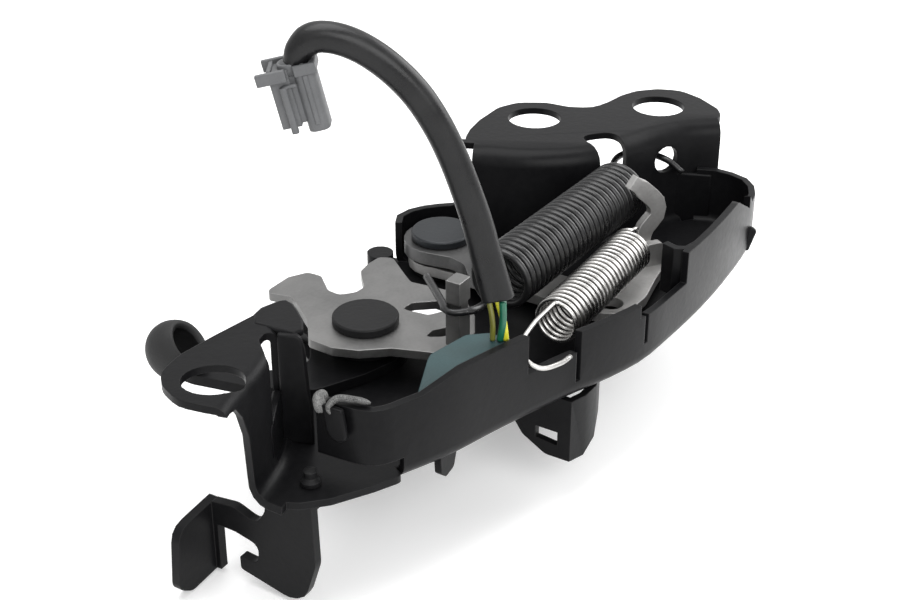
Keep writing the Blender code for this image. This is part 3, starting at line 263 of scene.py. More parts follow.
def tube(name, path, radius, sides, material, flat=1.0, first=None, groove=0.0):
    """A circle of the radius carried along the path. flat scales it along the second normal, and
    groove draws the radius in with the fourth power of that normal's share, as on a pressed sleeve."""
    path = np.asarray(path, float)
    up, side = carried_frames(path, first)
    run = np.concatenate([[0], np.cumsum(np.linalg.norm(np.diff(path, axis=0), axis=1))])
    angle = np.linspace(0, 2 * np.pi, sides, endpoint=False)
    reach = np.broadcast_to(np.asarray(radius, float).reshape(-1, 1), (len(path), sides))
    across = reach * np.cos(angle)[None, :]
    deep = reach * np.sin(angle)[None, :] * np.asarray(flat, float).reshape(-1, 1)
    deep = deep * (1 - np.asarray(groove, float).reshape(-1, 1) * np.sin(angle)[None, :] ** 4)
    grid = path[:, None, :] + across[..., None] * up[:, None, :] + deep[..., None] * side[:, None, :]
    uv = np.stack(np.broadcast_arrays(run[:, None], angle[None, :] / (2 * np.pi)), axis=-1)
    return piece(name, grid, material, uv=uv)


def helix(start, end, radius, turns, steps, phase_deg):
    """Centre moving evenly from start to end, plus a radius that turns evenly about that line,
    with the given steps to a turn."""
    start, end = np.asarray(start, float), np.asarray(end, float)
    axis = (end - start) / np.linalg.norm(end - start)
    up = np.array([0.0, 0.0, 1.0]) - axis * axis[2]
    up /= np.linalg.norm(up)
    side = np.cross(axis, up)
    t = np.linspace(0, 1, turns * steps + 1)[:, None]
    a = np.radians(phase_deg) + 2 * np.pi * turns * t
    return start + (end - start) * t + radius * (np.cos(a) * up + np.sin(a) * side)


# Shader groups
MOTTLE_FINENESS = 14.0
MOTTLE_SPAN = (0.34, 0.66)
EDGE_SAMPLES = 6
EDGE_FACE_DOT = 0.995
RELIEF_METRES = 0.0004


def new_group(name, inputs, outputs):
    """An empty shader group with its sockets, and its two end nodes."""
    group = bpy.data.node_groups.new(name, "ShaderNodeTree")
    for kind, label, value in inputs:
        socket = group.interface.new_socket(name=label, in_out="INPUT", socket_type=kind)
        if value is not None:
            socket.default_value = value
    for kind, label in outputs:
        group.interface.new_socket(name=label, in_out="OUTPUT", socket_type=kind)
    return group, group.nodes.new("NodeGroupInput"), group.nodes.new("NodeGroupOutput")


def make_mottle_group():
    """Two scales of noise added and stretched to 0..1: soft patches with fine grain in them."""
    group, given, out = new_group(
        "mottle",
        [
            ("NodeSocketVector", "Vector", None),
            ("NodeSocketFloat", "Scale", 60.0),
            ("NodeSocketFloat", "Grain", 0.3),
        ],
        [("NodeSocketFloat", "Mask")],
    )
    link = group.links.new
    coarse = group.nodes.new("ShaderNodeTexNoise")
    coarse.inputs["Detail"].default_value = 3.0
    fine = group.nodes.new("ShaderNodeTexNoise")
    fine.inputs["Detail"].default_value = 5.0
    times = group.nodes.new("ShaderNodeMath")
    times.operation = "MULTIPLY"
    times.inputs[1].default_value = MOTTLE_FINENESS
    link(given.outputs["Vector"], coarse.inputs["Vector"])
    link(given.outputs["Vector"], fine.inputs["Vector"])
    link(given.outputs["Scale"], coarse.inputs["Scale"])
    link(given.outputs["Scale"], times.inputs[0])
    link(times.outputs[0], fine.inputs["Scale"])
    blend = group.nodes.new("ShaderNodeMix")
    link(given.outputs["Grain"], blend.inputs["Factor"])
    link(coarse.outputs["Fac"], blend.inputs["A"])
    link(fine.outputs["Fac"], blend.inputs["B"])
    spread = group.nodes.new("ShaderNodeMapRange")
    spread.inputs["From Min"].default_value = MOTTLE_SPAN[0]
    spread.inputs["From Max"].default_value = MOTTLE_SPAN[1]
    link(blend.outputs["Result"], spread.inputs["Value"])
    link(spread.outputs["Result"], out.inputs["Mask"])
    return group


def make_edge_group():
    """A rounded normal from its neighbourhood, and a mask that is 1 where it leaves the face's own."""
    group, given, out = new_group(
        "rounded_edge",
        [("NodeSocketFloat", "Radius", 0.0004), ("NodeSocketFloat", "Reach", 0.16)],
        [("NodeSocketVector", "Normal"), ("NodeSocketFloat", "Mask")],
    )
    link = group.links.new
    bevel = group.nodes.new("ShaderNodeBevel")
    bevel.samples = EDGE_SAMPLES
    geometry = group.nodes.new("ShaderNodeNewGeometry")
    dot = group.nodes.new("ShaderNodeVectorMath")
    dot.operation = "DOT_PRODUCT"
    spread = group.nodes.new("ShaderNodeMapRange")
    spread.inputs["From Min"].default_value = EDGE_FACE_DOT
    link(given.outputs["Radius"], bevel.inputs["Radius"])
    link(bevel.outputs["Normal"], dot.inputs[0])
    link(geometry.outputs["Normal"], dot.inputs[1])
    minus = group.nodes.new("ShaderNodeMath")
    minus.operation = "SUBTRACT"
    minus.inputs[0].default_value = 1.0
    link(given.outputs["Reach"], minus.inputs[1])
    link(minus.outputs[0], spread.inputs["From Max"])
    link(dot.outputs["Value"], spread.inputs["Value"])
    link(spread.outputs["Result"], out.inputs["Mask"])
    link(bevel.outputs["Normal"], out.inputs["Normal"])
    return group


MOTTLE = make_mottle_group()
EDGE = make_edge_group()


def finish_material(
    name, dark, light, rough, metallic=0.0, scale=60.0, grain=0.3, bump=0.06, bump_scale=700.0,
    wear=0.0, worn=(0.4, 0.4, 0.4), specular=0.5, edge_radius=0.0004,
):
    """A finish whose colour runs from dark to light and whose roughness runs over rough with the
    mottle, with fine relief, rounded edges and, where wear is set, edges rubbed to the worn colour."""
    material = bpy.data.materials.new(name)
    material.use_nodes = True
    tree = material.node_tree
    link = tree.links.new
    shader = tree.nodes["Principled BSDF"]
    where = tree.nodes.new("ShaderNodeTexCoord").outputs["Object"]
    mottle = tree.nodes.new("ShaderNodeGroup")
    mottle.node_tree = MOTTLE
    mottle.inputs["Scale"].default_value = scale
    mottle.inputs["Grain"].default_value = grain
    link(where, mottle.inputs["Vector"])
    colour = tree.nodes.new("ShaderNodeMix")
    colour.data_type = "RGBA"
    colour.inputs["A"].default_value = (*dark, 1.0)
    colour.inputs["B"].default_value = (*light, 1.0)
    link(mottle.outputs["Mask"], colour.inputs["Factor"])
    edge = tree.nodes.new("ShaderNodeGroup")
    edge.node_tree = EDGE
    edge.inputs["Radius"].default_value = edge_radius
    painted = colour.outputs["Result"]
    if wear:
        rub = tree.nodes.new("ShaderNodeMix")
        rub.data_type = "RGBA"
        rub.inputs["B"].default_value = (*worn, 1.0)
        share = tree.nodes.new("ShaderNodeMath")
        share.operation = "MULTIPLY"
        share.inputs[1].default_value = wear
        link(edge.outputs["Mask"], share.inputs[0])
        link(share.outputs[0], rub.inputs["Factor"])
        link(painted, rub.inputs["A"])
        painted = rub.outputs["Result"]
    link(painted, shader.inputs["Base Color"])
    roughness = tree.nodes.new("ShaderNodeMapRange")
    roughness.inputs["To Min"].default_value = rough[0]
    roughness.inputs["To Max"].default_value = rough[1]
    link(mottle.outputs["Mask"], roughness.inputs["Value"])
    link(roughness.outputs["Result"], shader.inputs["Roughness"])
    relief = tree.nodes.new("ShaderNodeTexNoise")
    relief.inputs["Scale"].default_value = bump_scale
    relief.inputs["Detail"].default_value = 2.0
    link(where, relief.inputs["Vector"])
    raised = tree.nodes.new("ShaderNodeBump")
    raised.inputs["Strength"].default_value = bump
    raised.inputs["Distance"].default_value = RELIEF_METRES
    link(relief.outputs["Fac"], raised.inputs["Height"])
    link(edge.outputs["Normal"], raised.inputs["Normal"])
    link(raised.outputs["Normal"], shader.inputs["Normal"])
    shader.inputs["Metallic"].default_value = metallic
    shader.inputs["Specular IOR Level"].default_value = specular
    return material


# Finishes
black_coat = finish_material(
    "black_coat", (0.0042, 0.0042, 0.0047), (0.0080, 0.0080, 0.0086), (0.30, 0.42), scale=35, bump=0.10,
    bump_scale=520, wear=0.5, worn=(0.035, 0.035, 0.035), specular=0.09,
)
rivet_black = finish_material(
    "rivet_black", (0.0070, 0.0070, 0.0075), (0.013, 0.013, 0.0135), (0.40, 0.52), scale=90, bump=0.12,
    wear=0.3, worn=(0.06, 0.06, 0.06), specular=0.12,
)
catch_zinc = finish_material(
    "catch_zinc", (0.145, 0.145, 0.143), (0.205, 0.203, 0.200), (0.36, 0.48), metallic=0.85, scale=70,
    bump=0.10, bump_scale=500, wear=0.5, worn=(0.36, 0.355, 0.35),
)
# Painted shade: the pawl is the same zinc as its arm, with darker colours standing in for the shadow it
# lies in
pawl_zinc = finish_material(
    "pawl_zinc", (0.075, 0.075, 0.076), (0.120, 0.120, 0.119), (0.36, 0.5), metallic=0.85, scale=80,
    bump=0.12, wear=0.4, worn=(0.26, 0.26, 0.26),
)
arm_zinc = finish_material(
    "arm_zinc", (0.31, 0.306, 0.30), (0.43, 0.424, 0.418), (0.44, 0.56),
    metallic=0.7, scale=90, bump=0.12, wear=0.4, worn=(0.45, 0.45, 0.44),
)
shaft_dark = finish_material(
    "shaft_dark", (0.014, 0.016, 0.019), (0.026, 0.029, 0.032), (0.36, 0.48),
    metallic=0.4, scale=90, bump=0.1, wear=0.4, worn=(0.12, 0.12, 0.12), specular=0.3,
)
stop_steel = finish_material(
    "stop_steel", (0.012, 0.012, 0.012), (0.20, 0.20, 0.197), (0.4, 0.6),
    metallic=0.1, scale=260, grain=0.75, bump=0.3, bump_scale=900, specular=0.2,
)
spring_black = finish_material(
    "spring_black", (0.0045, 0.0045, 0.0050), (0.0085, 0.0085, 0.0090), (0.24, 0.34),
    scale=120, bump=0.04, specular=0.45, edge_radius=0.0001,
)
spring_bright = finish_material(
    "spring_bright", (0.36, 0.355, 0.345), (0.50, 0.49, 0.475), (0.22, 0.34),
    metallic=1.0, scale=160, bump=0.03, edge_radius=0.0001,
)
cap_rubber = finish_material(
    "cap_rubber", (0.0125, 0.0125, 0.0128), (0.021, 0.021, 0.0215), (0.55, 0.7), scale=150, bump=0.2,
    bump_scale=1500, specular=0.3,
)
switch_teal = finish_material(
    "switch_teal", (0.016, 0.042, 0.045), (0.028, 0.062, 0.066), (0.42, 0.55), scale=120, bump=0.12,
    bump_scale=1200, specular=0.35,
)
plunger_black = finish_material(
    "plunger_black", (0.006, 0.006, 0.006), (0.011, 0.011, 0.011), (0.4, 0.5),
    scale=120, bump=0.05, specular=0.3,
)
sleeve_black = finish_material(
    "sleeve_black", (0.0060, 0.0060, 0.0065), (0.012, 0.012, 0.0125), (0.26, 0.38), scale=160, bump=0.12,
    bump_scale=1800, edge_radius=0.0001, specular=0.25,
)
connector_grey = finish_material(
    "connector_grey", (0.085, 0.087, 0.090), (0.120, 0.122, 0.126), (0.42, 0.52), scale=160, bump=0.08,
    bump_scale=1500, specular=0.35,
)
wire_green = finish_material(
    "wire_green", (0.004, 0.085, 0.048), (0.007, 0.13, 0.07), (0.3, 0.4), scale=200,
)
wire_yellow = finish_material(
    "wire_yellow", (0.55, 0.53, 0.020), (0.68, 0.65, 0.035), (0.3, 0.4), scale=200,
)
wire_olive = finish_material(
    "wire_olive", (0.12, 0.12, 0.018), (0.18, 0.18, 0.03), (0.3, 0.4), scale=200,
)

BODIES = {
    "catch": "catch_body", "pawl": "pawl_body", "pawl_arm": "pawl_body", "pawl_rivet": "pawl_body",
    "pawl_spacer_high": "pawl_body", "release_arm": "pawl_body", "safety_lever": "safety_body",
    "switch_plunger": "plunger_body",
}


def finish(material, slot, *names):
    """Each node's smooth copy takes its place, with the material on it."""
    done = {}
    for name in names:
        obj = copy_of(name)
        obj.data.materials.clear()
        obj.data.materials.append(material)
        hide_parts(name)
        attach(obj, BODIES.get(name, FRAME_BODY))
        done[name] = obj
    return done


black_pieces = finish(
    black_coat, "black_coat", "base_plate", "safety_lever", "release_arm", "cable_holder",
    "clip_bracket",
)
finish(
    rivet_black, "rivet_steel", "catch_rivet", "catch_spacer", "pawl_spacer_low", "pawl_spacer_high",
    "holder_rivet",
)
catch = finish(catch_zinc, "zinc_plate", "catch")["catch"]
# The pawl's zinc carries painted shade
finish(pawl_zinc, "zinc_plate", "pawl")
finish(arm_zinc, "zinc_plate", "pawl_arm")
finish(shaft_dark, "rivet_steel", "pawl_rivet")
finish(switch_teal, "switch_teal", "switch_body")
finish(plunger_black, "plastic_black", "switch_plunger")

# Wires between the switch and the sleeve; the yellow one crosses behind the green one
WIRE_FOOT_Z = 22.2
WIRE_HEAD_Z = 33.0
WIRE_BOW = np.array([0.2, -0.3, 0.0])
for name, finish_of, radius, low, high in (
    ("wire_green", wire_green, 0.92, (-6.5, -45.3, WIRE_FOOT_Z), (-6.0, -45.6, WIRE_HEAD_Z)),
    ("wire_yellow", wire_yellow, 0.85, (-5.6, -46.4, WIRE_FOOT_Z), (-5.6, -43.8, WIRE_HEAD_Z)),
    ("wire_olive", wire_olive, 0.70, (-7.3, -43.6, WIRE_FOOT_Z), (-7.8, -42.8, WIRE_HEAD_Z)),
):
    low, high = np.asarray(low), np.asarray(high)
    bowed = 0.5 * (low + high) + WIRE_BOW
    strand = tube(name + "_strand", smooth_path([low, bowed, high], 24), radius, 16, finish_of)
    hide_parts(name)
    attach(strand, FRAME_BODY)

# The wall behind the pawl steps down from the ear to a low wall. The tool's outline runs along and
# up the wall, and its depth runs through it
LOW_WALL_TOP = 13.0
ABOVE_WALL = 45.0
STEP_AT = (73.0, 10.4, 0.0)
STEP_DEPTH = (-18.0, 5.9)
STRIP_FOOT = 24.0
WALL_AXES = np.array([(0.40, -0.9165, 0.0), (0.0, 0.0, 1.0), (0.9165, 0.40, 0.0)])
STEP_PROFILE = [
    (-45.0, LOW_WALL_TOP),
    (-45.0, ABOVE_WALL),
    (-0.8, ABOVE_WALL),
    (-0.8, LOW_WALL_TOP + 6.5),
    (-1.2, LOW_WALL_TOP + 4.2),
    (-2.2, LOW_WALL_TOP + 2.0),
    (-3.8, LOW_WALL_TOP + 0.7),
    (-7.0, LOW_WALL_TOP),
]
step_block = block(STEP_PROFILE, *STEP_DEPTH)
step_tool = made_of_blocks("step_tool", [step_block], STEP_AT, WALL_AXES, black_coat)
cut_away(black_pieces["base_plate"], step_tool)

# What is left of the flange above the step goes too
STRIP_PLAN = [(60.0, 20.0), (75.4, 17.3), (78.5, 18.6), (84.0, 22.0), (80.0, 34.0), (60.0, 34.0)]
strip_block = block(STRIP_PLAN, STRIP_FOOT, ABOVE_WALL)
strip_tool = made_of_blocks("strip_tool", [strip_block], (0, 0, 0), np.eye(3), black_coat)
cut_away(black_pieces["base_plate"], strip_tool)
soften(black_pieces["base_plate"], SHEET_SHARP_DEG)

# The catch is thinner than its solid: the plate's lower face comes up to here
CATCH_UNDERSIDE = 8.0
heights = np.zeros(len(catch.data.vertices) * 3)
catch.data.vertices.foreach_get("co", heights)
heights = heights.reshape(-1, 3)
lowest = row((0.0, 0.0, CATCH_UNDERSIDE))[2]
heights[:, 2] = np.maximum(heights[:, 2], lowest)
catch.data.vertices.foreach_set("co", heights.ravel())
catch.data.update()

# Webs of the black sheet, each an outline along and up from its foot. On the left ear the wall
# closes below the kidney hole and turns inward beside it; the far wall's right end is closed and
# has a small lug outside
UP = np.array([0.0, 0.0, 1.0])
RIGHT_IN_VIEW = np.array([0.42, -0.907, 0.0])
ALONG_WALL = np.array([0.897, 0.442, 0.0])
ALONG_END = np.array([0.40, -0.917, 0.0])
WEB_BEVEL = 0.5
END_PART = [(-1.6, -2.0), (10.6, -2.0), (10.6, 15.5), (-1.6, 15.5)]
END_LUG = [(-1.0, 0.0), (0.2, 0.0), (2.2, 6.7), (0.9, 7.8), (-1.0, 7.8)]
TURNED_EDGE = [
    (-0.6, 0.0), (7.4, 0.0), (7.3, 10.0), (6.6, 16.0), (6.3, 22.0), (6.0, 27.0), (5.3, 29.9),
    (4.2, 30.8), (0.3, 30.8), (-0.6, 30.8),
]
CLOSED_PART = [
    (-0.6, -1.0), (12.6, -1.0), (12.6, 14.5), (10.5, 15.4), (6.0, 14.2), (2.0, 12.6), (-0.6, 12.2),
]
for name, outline, at, along, thick in (
    ("end_closed_part", END_PART, (123.9, -33.5, 0.0), ALONG_END, 1.6),
    ("end_lug", END_LUG, (113.5, -62.6, 0.6), RIGHT_IN_VIEW, 2.0),
    ("ear_turned_edge", TURNED_EDGE, (-43.6, -5.9, 0.0), RIGHT_IN_VIEW, 1.8),
    ("ear_closed_part", CLOSED_PART, (-56.3, -9.6, 0.0), ALONG_WALL, 2.0),
):
    axes = [along, UP, np.cross(UP, along)]
    web = made_of_blocks(name, [block(outline, -thick, 0.0)], at, axes, black_coat, bevel=WEB_BEVEL)
    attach(web, FRAME_BODY)

# The left ear's rounded end, a plan in latch millimetres; its top lies just over the ear's face
HUMP_HEIGHTS = (29.1, 31.15)
HUMP_BEVEL = 0.6
HUMP_PLAN = [
    (-44.4, 1.6), (-40.6, 4.6), (-37.0, 5.2), (-34.2, 4.4), (-31.6, 3.6), (-30.3, 2.2), (-31.0, -0.4),
    (-33.2, -3.6), (-36.1, -7.2), (-40.0, -10.2), (-42.8, -9.4), (-43.3, -6.5), (-43.7, -4.1),
]
hump_block = block(HUMP_PLAN, *HUMP_HEIGHTS)
hump = made_of_blocks("ear_hump", [hump_block], (0, 0, 0), np.eye(3), black_coat, bevel=HUMP_BEVEL)
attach(hump, FRAME_BODY)

# Stop on the left wall: a black tongue hanging outside, and a speckled strap over the top edge
TONGUE_AT = (-52.1, -23.6, 20.6)
TONGUE_HALF = 2.8
TONGUE_STRAIGHT = 6.6
TONGUE_TIP = 2.4
TONGUE_SHEET = 1.5
TONGUE_BEVEL = 0.4
TONGUE_AXES = [(0.0, -1.0, 0.0), (0.0, -0.17, -1.0), (1.0, 0.0, 0.0)]
tip_turn = np.linspace(0, np.pi, 13)
tip_across = TONGUE_HALF + TONGUE_HALF * np.cos(tip_turn)
tip_down = TONGUE_STRAIGHT + TONGUE_TIP * np.sin(tip_turn)
tongue_plan = [(2 * TONGUE_HALF, 0.0), *zip(tip_across, tip_down), (0.0, 0.0)]
tongue_block = block(tongue_plan, 0.0, TONGUE_SHEET)
tongue = made_of_blocks(
    "stop_tongue", [tongue_block], TONGUE_AT, TONGUE_AXES, black_coat, bevel=TONGUE_BEVEL,
)

STRAP_RADIUS, STRAP_FLAT = 1.35, 0.62
KNOB_RADIUS, KNOB_FLAT = 1.7, 0.7
strap_path = smooth_path([
    (-51.2, -26.2, 18.4),
    (-51.4, -25.4, 20.4),
    (-49.4, -26.6, 21.9),
    (-47.4, -30.0, 21.6),
    (-45.8, -33.4, 20.9),
], 60)
knob_path = smooth_path([
    (-51.4, -23.6, 18.2),
    (-51.2, -22.6, 19.8),
    (-50.0, -21.8, 20.8),
    (-48.2, -22.6, 20.9),
], 40)
strap_fade = np.sqrt(np.clip(1 - np.abs(np.linspace(-1, 1, 60)) ** 6, 0.12, 1))
knob_fade = strap_fade[::3].repeat(2)
strap = tube("stop_strap", strap_path, STRAP_RADIUS * strap_fade, 20, stop_steel, flat=STRAP_FLAT)
knob = tube("stop_knob", knob_path, KNOB_RADIUS * knob_fade, 20, stop_steel, flat=KNOB_FLAT)
for obj, slot_name in ((tongue, "black_coat"), (strap, "rivet_steel"), (knob, "rivet_steel")):
    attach(obj, FRAME_BODY)
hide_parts("stop_clip")

# Soft cap: a dome over the lever's end, open towards the pivot, with a thick rim
CAP_AT = np.array([-34.4, 36.6, 7.5])
CAP_RADII = np.array([7.2, 8.6, 8.5])
CAP_WALL = 2.0
CAP_FOOT = 1.2
CAP_FLOOR = 1.2
CAP_OUTER_RINGS = 40
CAP_INNER_RINGS = 24


def make_cap():
    """Two nested ellipsoids from the pole to the rim and back inside, each point the centre plus
    the radii times a unit vector, with the low side pressed flat at the foot."""
    aim = np.array([-0.22, 0.975, 0.0])
    side = np.array([0.975, 0.22, 0.0])
    mouth = -0.80 * aim + 0.60 * UP
    second = np.cross(mouth, side)
    outer = np.linspace(2, 128, CAP_OUTER_RINGS)
    inner = np.linspace(128, 35, CAP_INNER_RINGS)
    polar = np.radians(np.concatenate([outer, inner]))[:, None, None]
    inside = (np.arange(CAP_OUTER_RINGS + CAP_INNER_RINGS) >= CAP_OUTER_RINGS)[:, None, None]
    turn = np.linspace(0, 2 * np.pi, 64, endpoint=False)[None, :, None]
    unit = -np.cos(polar) * mouth + np.sin(polar) * (np.cos(turn) * side + np.sin(turn) * second)
    local = np.stack([unit @ side, unit @ aim, unit @ UP], axis=-1)
    local = local * (CAP_RADII - CAP_WALL * inside)
    points = CAP_AT + local[..., :1] * side + local[..., 1:2] * aim + local[..., 2:] * UP
    foot = CAP_FOOT + CAP_FLOOR * inside[..., 0]
    heights = points[..., 2]
    points[..., 2] = np.where(heights < foot, foot + 0.05 * (heights - foot), heights)
    return piece("lever_cap_hood", points, cap_rubber)


cap = make_cap()
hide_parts("lever_cap")
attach(cap, "safety_body")

# Plug housing, in its own axes: x to the right, y away from the camera, z up from the sleeve's end
PLUG_AT = (-31.9, -3.7, 94.8)
PLUG_TURN = math.radians(-58.0)
PLUG_LEAN = math.radians(13.0)
PLUG_SCALE = 0.83
PLUG_BEVEL = 0.3
COLLAR_SHIFT = -0.2
plug_right = np.array([math.cos(PLUG_TURN), math.sin(PLUG_TURN), 0.0])
plug_back = np.array([-math.sin(PLUG_TURN), math.cos(PLUG_TURN), 0.0])
plug_up = math.cos(PLUG_LEAN) * UP - math.sin(PLUG_LEAN) * plug_right
plug_right = math.cos(PLUG_LEAN) * plug_right + math.sin(PLUG_LEAN) * UP
plug_axes = PLUG_SCALE * np.array([plug_right, plug_back, plug_up])


def plate_plan(x0, x1, y0, y1, corner=0.0):
    """A rectangle, or one whose corners are quarter circles of the given radius."""
    if not corner:
        return [(x0, y0), (x1, y0), (x1, y1), (x0, y1)]
    a = np.radians(np.arange(0, 360, 15.0))
    centre_x = np.where(np.cos(a) > 1e-9, x1 - corner, x0 + corner)
    centre_y = np.where(np.sin(a) > -1e-9, y1 - corner, y0 + corner)
    return np.column_stack([centre_x + corner * np.cos(a), centre_y + corner * np.sin(a)])


# The body's two halves and the web between them, two wings, four ribs at the top, and the latch arm
# with its bridge and a rib on the front
plug = made_of_blocks("connector_plug", [
    block(plate_plan(-6.4, -0.8, -3.9, 3.9), -17.6, -0.9),
    block(plate_plan(0.4, 6.6, -4.3, 4.1, 2.4), -20.0, -2.0),
    block(plate_plan(-1.2, 1.2, -3.0, 3.0), -17.0, -3.0),
    block([(-9.6, -5.7), (-1.2, -5.7), (-1.2, -4.1), (-9.6, -4.1)], -3.6, -0.2),
    block([(-8.6, 4.1), (7.0, 4.1), (7.0, 5.6), (-8.6, 5.6)], -3.0, 0.4),
    block(plate_plan(-6.4, -5.2, -4.2, 4.2), -2.4, 0.0),
    block(plate_plan(2.9, 4.0, -4.4, 4.4), -3.0, -0.1),
    block(plate_plan(5.9, 7.2, -4.4, 4.4), -3.0, -0.1),
    block(plate_plan(1.0, 7.2, -4.9, -3.6), -3.2, -0.1),
    block(plate_plan(-4.0, -2.0, -5.3, -3.7, 0.6), -19.0, -5.2),
    block(plate_plan(-3.0, 0.8, -4.9, -3.7), -5.8, -4.9),
    block(plate_plan(3.0, 4.4, -4.8, -4.0, 0.3), -17.8, -3.2),
], PLUG_AT, plug_axes, connector_grey, bevel=PLUG_BEVEL)
collar_turn = np.linspace(0, 2 * np.pi, 33)[:-1]
collar_rings = [(3.55, -2.8), (3.55, 0.1), (3.35, 0.35), (2.95, 0.35), (2.95, -2.8)]
collar_grid = np.array([
    [(radius * math.cos(a) + COLLAR_SHIFT, radius * math.sin(a), z) for a in collar_turn]
    for radius, z in collar_rings
])
collar = piece("connector_collar", np.asarray(PLUG_AT) + collar_grid @ plug_axes, connector_grey)
for obj in (plug, collar):
    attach(obj, FRAME_BODY)
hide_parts("connector_housing")

# Springs: the coil and its two hooks are one wire
POST = (4.0, -26.5)
POST_HALF_X, POST_HALF_Y = 2.6, 2.1
POST_GROOVE = 21.6
POST_GROOVE_DEPTH = 1.0
HOOK_CLEAR = 0.3
CATCH_WIRE = 1.05
CATCH_COIL_ENDS = (24.0, -27.0, 20.0), (91.0, -29.2, 21.0)
CATCH_COIL_RADIUS = 8.0
CATCH_COIL_TURNS = 27
CATCH_COIL_PHASE = 180.0
PAWL_WIRE = 0.65
PAWL_COIL_ENDS = (21.0, -46.0, 14.3), (69.0, -44.5, 14.8)
PAWL_COIL_RADIUS = 5.9
PAWL_COIL_TURNS = 23
PAWL_COIL_PHASE = 0.0
hook_y = POST_HALF_Y + CATCH_WIRE + HOOK_CLEAR
hook_x = POST_HALF_X - POST_GROOVE_DEPTH + CATCH_WIRE + HOOK_CLEAR
catch_hook = smooth_path([
    (14.0, -10.5, POST_GROOVE - 0.5),
    (9.0, -16.0, POST_GROOVE - 0.3),
    (POST[0] - 0.2, POST[1] + hook_y + 1.5, POST_GROOVE),
    (POST[0] - hook_x - 1.2, POST[1], POST_GROOVE),
    (POST[0] - 0.4, POST[1] - hook_y - 1.0, POST_GROOVE),
    (POST[0] + 7.0, POST[1] - 3.6, POST_GROOVE - 2.0),
    (19.5, -26.5, 15.5),
], 60)
catch_tail = smooth_path([
    (94.2, -29.2, 14.0),
    (98.5, -25.2, 17.6),
    (104.5, -20.0, 20.2),
    (112.0, -18.5, 21.5),
    (118.0, -22.5, 21.8),
    (118.6, -31.5, 21.0),
    (118.8, -37.2, 17.8),
], 50)
catch_coil = helix(*CATCH_COIL_ENDS, CATCH_COIL_RADIUS, CATCH_COIL_TURNS, 30, CATCH_COIL_PHASE)
catch_wire = smooth_path(np.vstack([catch_hook, catch_coil, catch_tail]), 960)
catch_spring = tube("catch_spring_wire", catch_wire, CATCH_WIRE, 12, spring_black)
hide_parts("catch_spring")
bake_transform(catch_spring)

pawl_hook = smooth_path([
    (8.0, -57.6, 14.1),
    (4.0, -56.8, 13.8),
    (-0.6, -54.0, 13.8),
    (-1.6, -50.0, 15.5),
    (1.0, -47.0, 17.5),
    (9.0, -46.0, 19.4),
    (17.0, -46.0, 20.2),
], 50)
pawl_tail = smooth_path([
    (71.5, -44.5, 20.4),
    (74.2, -43.4, 17.0),
    (75.2, -41.2, 13.0),
    (77.5, -38.6, 10.0),
    (81.5, -38.8, 9.0),
], 40)
pawl_coil = helix(*PAWL_COIL_ENDS, PAWL_COIL_RADIUS, PAWL_COIL_TURNS, 28, PAWL_COIL_PHASE)
pawl_wire = smooth_path(np.vstack([pawl_hook, pawl_coil, pawl_tail]), 780)
pawl_spring = tube("pawl_spring_wire", pawl_wire, PAWL_WIRE, 10, spring_bright)
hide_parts("pawl_spring")
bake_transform(pawl_spring)

# Harness sleeve: the route's points are those of the CAD sleeve
SLEEVE_DIAMETER = 7.6
SLEEVE_STATIONS = 260
FLARE_END = 0.45
TUCK_START = 0.93
SLEEVE_ROUTE = (
    (-6.7, -44.6, 34.0),
    (-8.0, -42.4, 43.9),
    (-9.4, -40.3, 53.9),
    (-10.8, -38.0, 62.5),
    (-12.4, -35.4, 71.0),
    (-14.3, -32.4, 79.0),
    (-16.8, -28.4, 86.8),
    (-19.9, -23.5, 93.2),
    (-23.2, -18.1, 97.9),
    (-26.4, -13.1, 100.4),
    (-29.1, -8.8, 100.6),
    (-30.9, -6.0, 98.0),
    (-31.6, -4.8, 94.4),
)
sleeve_path = smooth_path(SLEEVE_ROUTE, SLEEVE_STATIONS)
share = np.linspace(0, 1, SLEEVE_STATIONS)
flare = np.clip(1 - share / FLARE_END, 0, 1) ** 1.3
tuck = np.clip((share - TUCK_START) / (1 - TUCK_START), 0, 1)
sleeve_radius = SLEEVE_DIAMETER / 2 * (0.95 + 0.13 * flare - 0.24 * tuck)
sleeve = tube(
    "harness_tube", sleeve_path, sleeve_radius, 40, sleeve_black, flat=1 - 0.30 * flare,
    first=RIGHT_IN_VIEW, groove=0.10 + 0.22 * flare,
)
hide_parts("harness_sleeve")
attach(sleeve, FRAME_BODY)

# Floor, backdrop colour and soft light
FLOOR_REACH = 3.0
FLOOR_GAP = 0.0005
BACKDROP_LEVEL = 1.0
STUDIO_LEVEL = 0.45
floor_z = cad_box[0][2] - FLOOR_GAP
floor_mesh = bpy.data.meshes.new("floor")
floor_corners = [
    (-FLOOR_REACH, -FLOOR_REACH, floor_z), (FLOOR_REACH, -FLOOR_REACH, floor_z),
    (FLOOR_REACH, FLOOR_REACH, floor_z), (-FLOOR_REACH, FLOOR_REACH, floor_z),
]
floor_mesh.from_pydata(floor_corners, [], [(0, 1, 2, 3)])
floor = show("floor", floor_mesh)


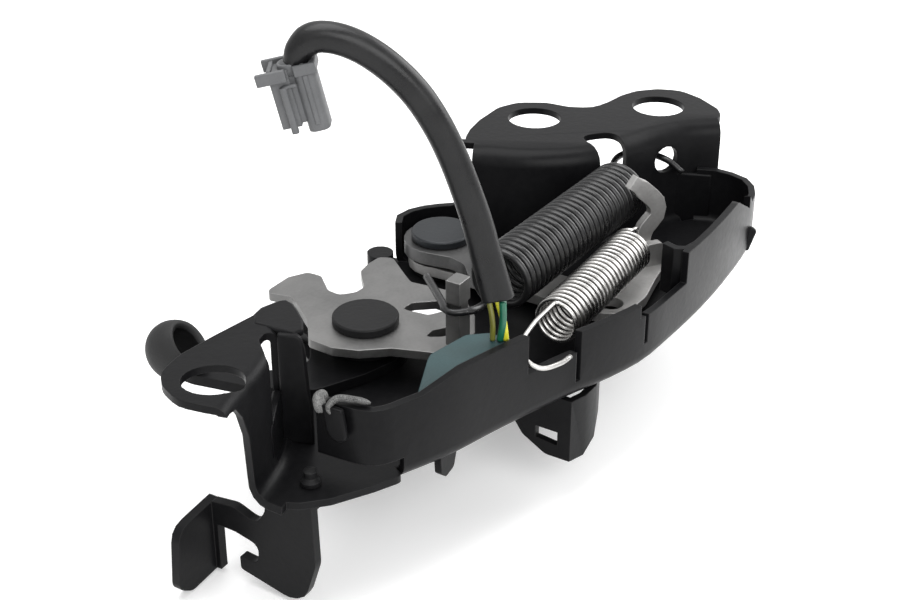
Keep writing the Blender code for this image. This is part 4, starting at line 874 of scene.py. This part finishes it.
def make_floor_material():
    """A matt white with a little light of its own, so that it reads as white and keeps the shadow."""
    material = bpy.data.materials.new("floor_white")
    material.use_nodes = True
    shader = material.node_tree.nodes["Principled BSDF"]
    shader.inputs["Base Color"].default_value = (0.93, 0.93, 0.93, 1.0)
    shader.inputs["Roughness"].default_value = 0.9
    shader.inputs["Specular IOR Level"].default_value = 0.1
    shader.inputs["Emission Color"].default_value = (1.0, 1.0, 1.0, 1.0)
    shader.inputs["Emission Strength"].default_value = 0.22
    return material


floor_mesh.materials.append(make_floor_material())

world = bpy.data.worlds.new("studio")
bpy.context.scene.world = world
world.use_nodes = True
sky = world.node_tree.nodes["Background"]
path_kind = world.node_tree.nodes.new("ShaderNodeLightPath")
level = world.node_tree.nodes.new("ShaderNodeMapRange")
level.inputs["To Min"].default_value = STUDIO_LEVEL
level.inputs["To Max"].default_value = BACKDROP_LEVEL
seen = path_kind.outputs["Is Camera Ray"]
for kind in ("Is Glossy Ray", "Is Transmission Ray"):
    either = world.node_tree.nodes.new("ShaderNodeMath")
    either.operation = "MAXIMUM"
    world.node_tree.links.new(seen, either.inputs[0])
    world.node_tree.links.new(path_kind.outputs[kind], either.inputs[1])
    seen = either.outputs[0]
world.node_tree.links.new(seen, level.inputs["Value"])
world.node_tree.links.new(level.outputs["Result"], sky.inputs["Strength"])
sky.inputs["Color"].default_value = (1.0, 1.0, 1.0, 1.0)


def softbox(name, at, aim, size, watts):
    """A rectangular lamp at a point in latch millimetres, turned to face its aim; size in metres."""
    data = bpy.data.lights.new(name, "AREA")
    data.shape = "RECTANGLE"
    data.size, data.size_y = size
    data.energy = watts
    lamp = bpy.data.objects.new(name, data)
    lamp.location = row(at)
    away = np.asarray(at, float) - np.asarray(aim, float)
    heading = math.atan2(away[0], -away[1])
    lamp.rotation_euler = (math.atan2(math.hypot(away[0], away[1]), away[2]), 0.0, heading)
    bpy.context.scene.collection.objects.link(lamp)


softbox("top_softbox", (40.0, 60.0, 700.0), (30.0, -10.0, 0.0), (0.7, 0.5), 5.0)
softbox("front_softbox", (-350.0, -560.0, 420.0), (20.0, -20.0, 10.0), (0.6, 0.5), 4.0)
softbox("right_softbox", (520.0, -260.0, 300.0), (40.0, -20.0, 10.0), (0.5, 0.4), 2.5)
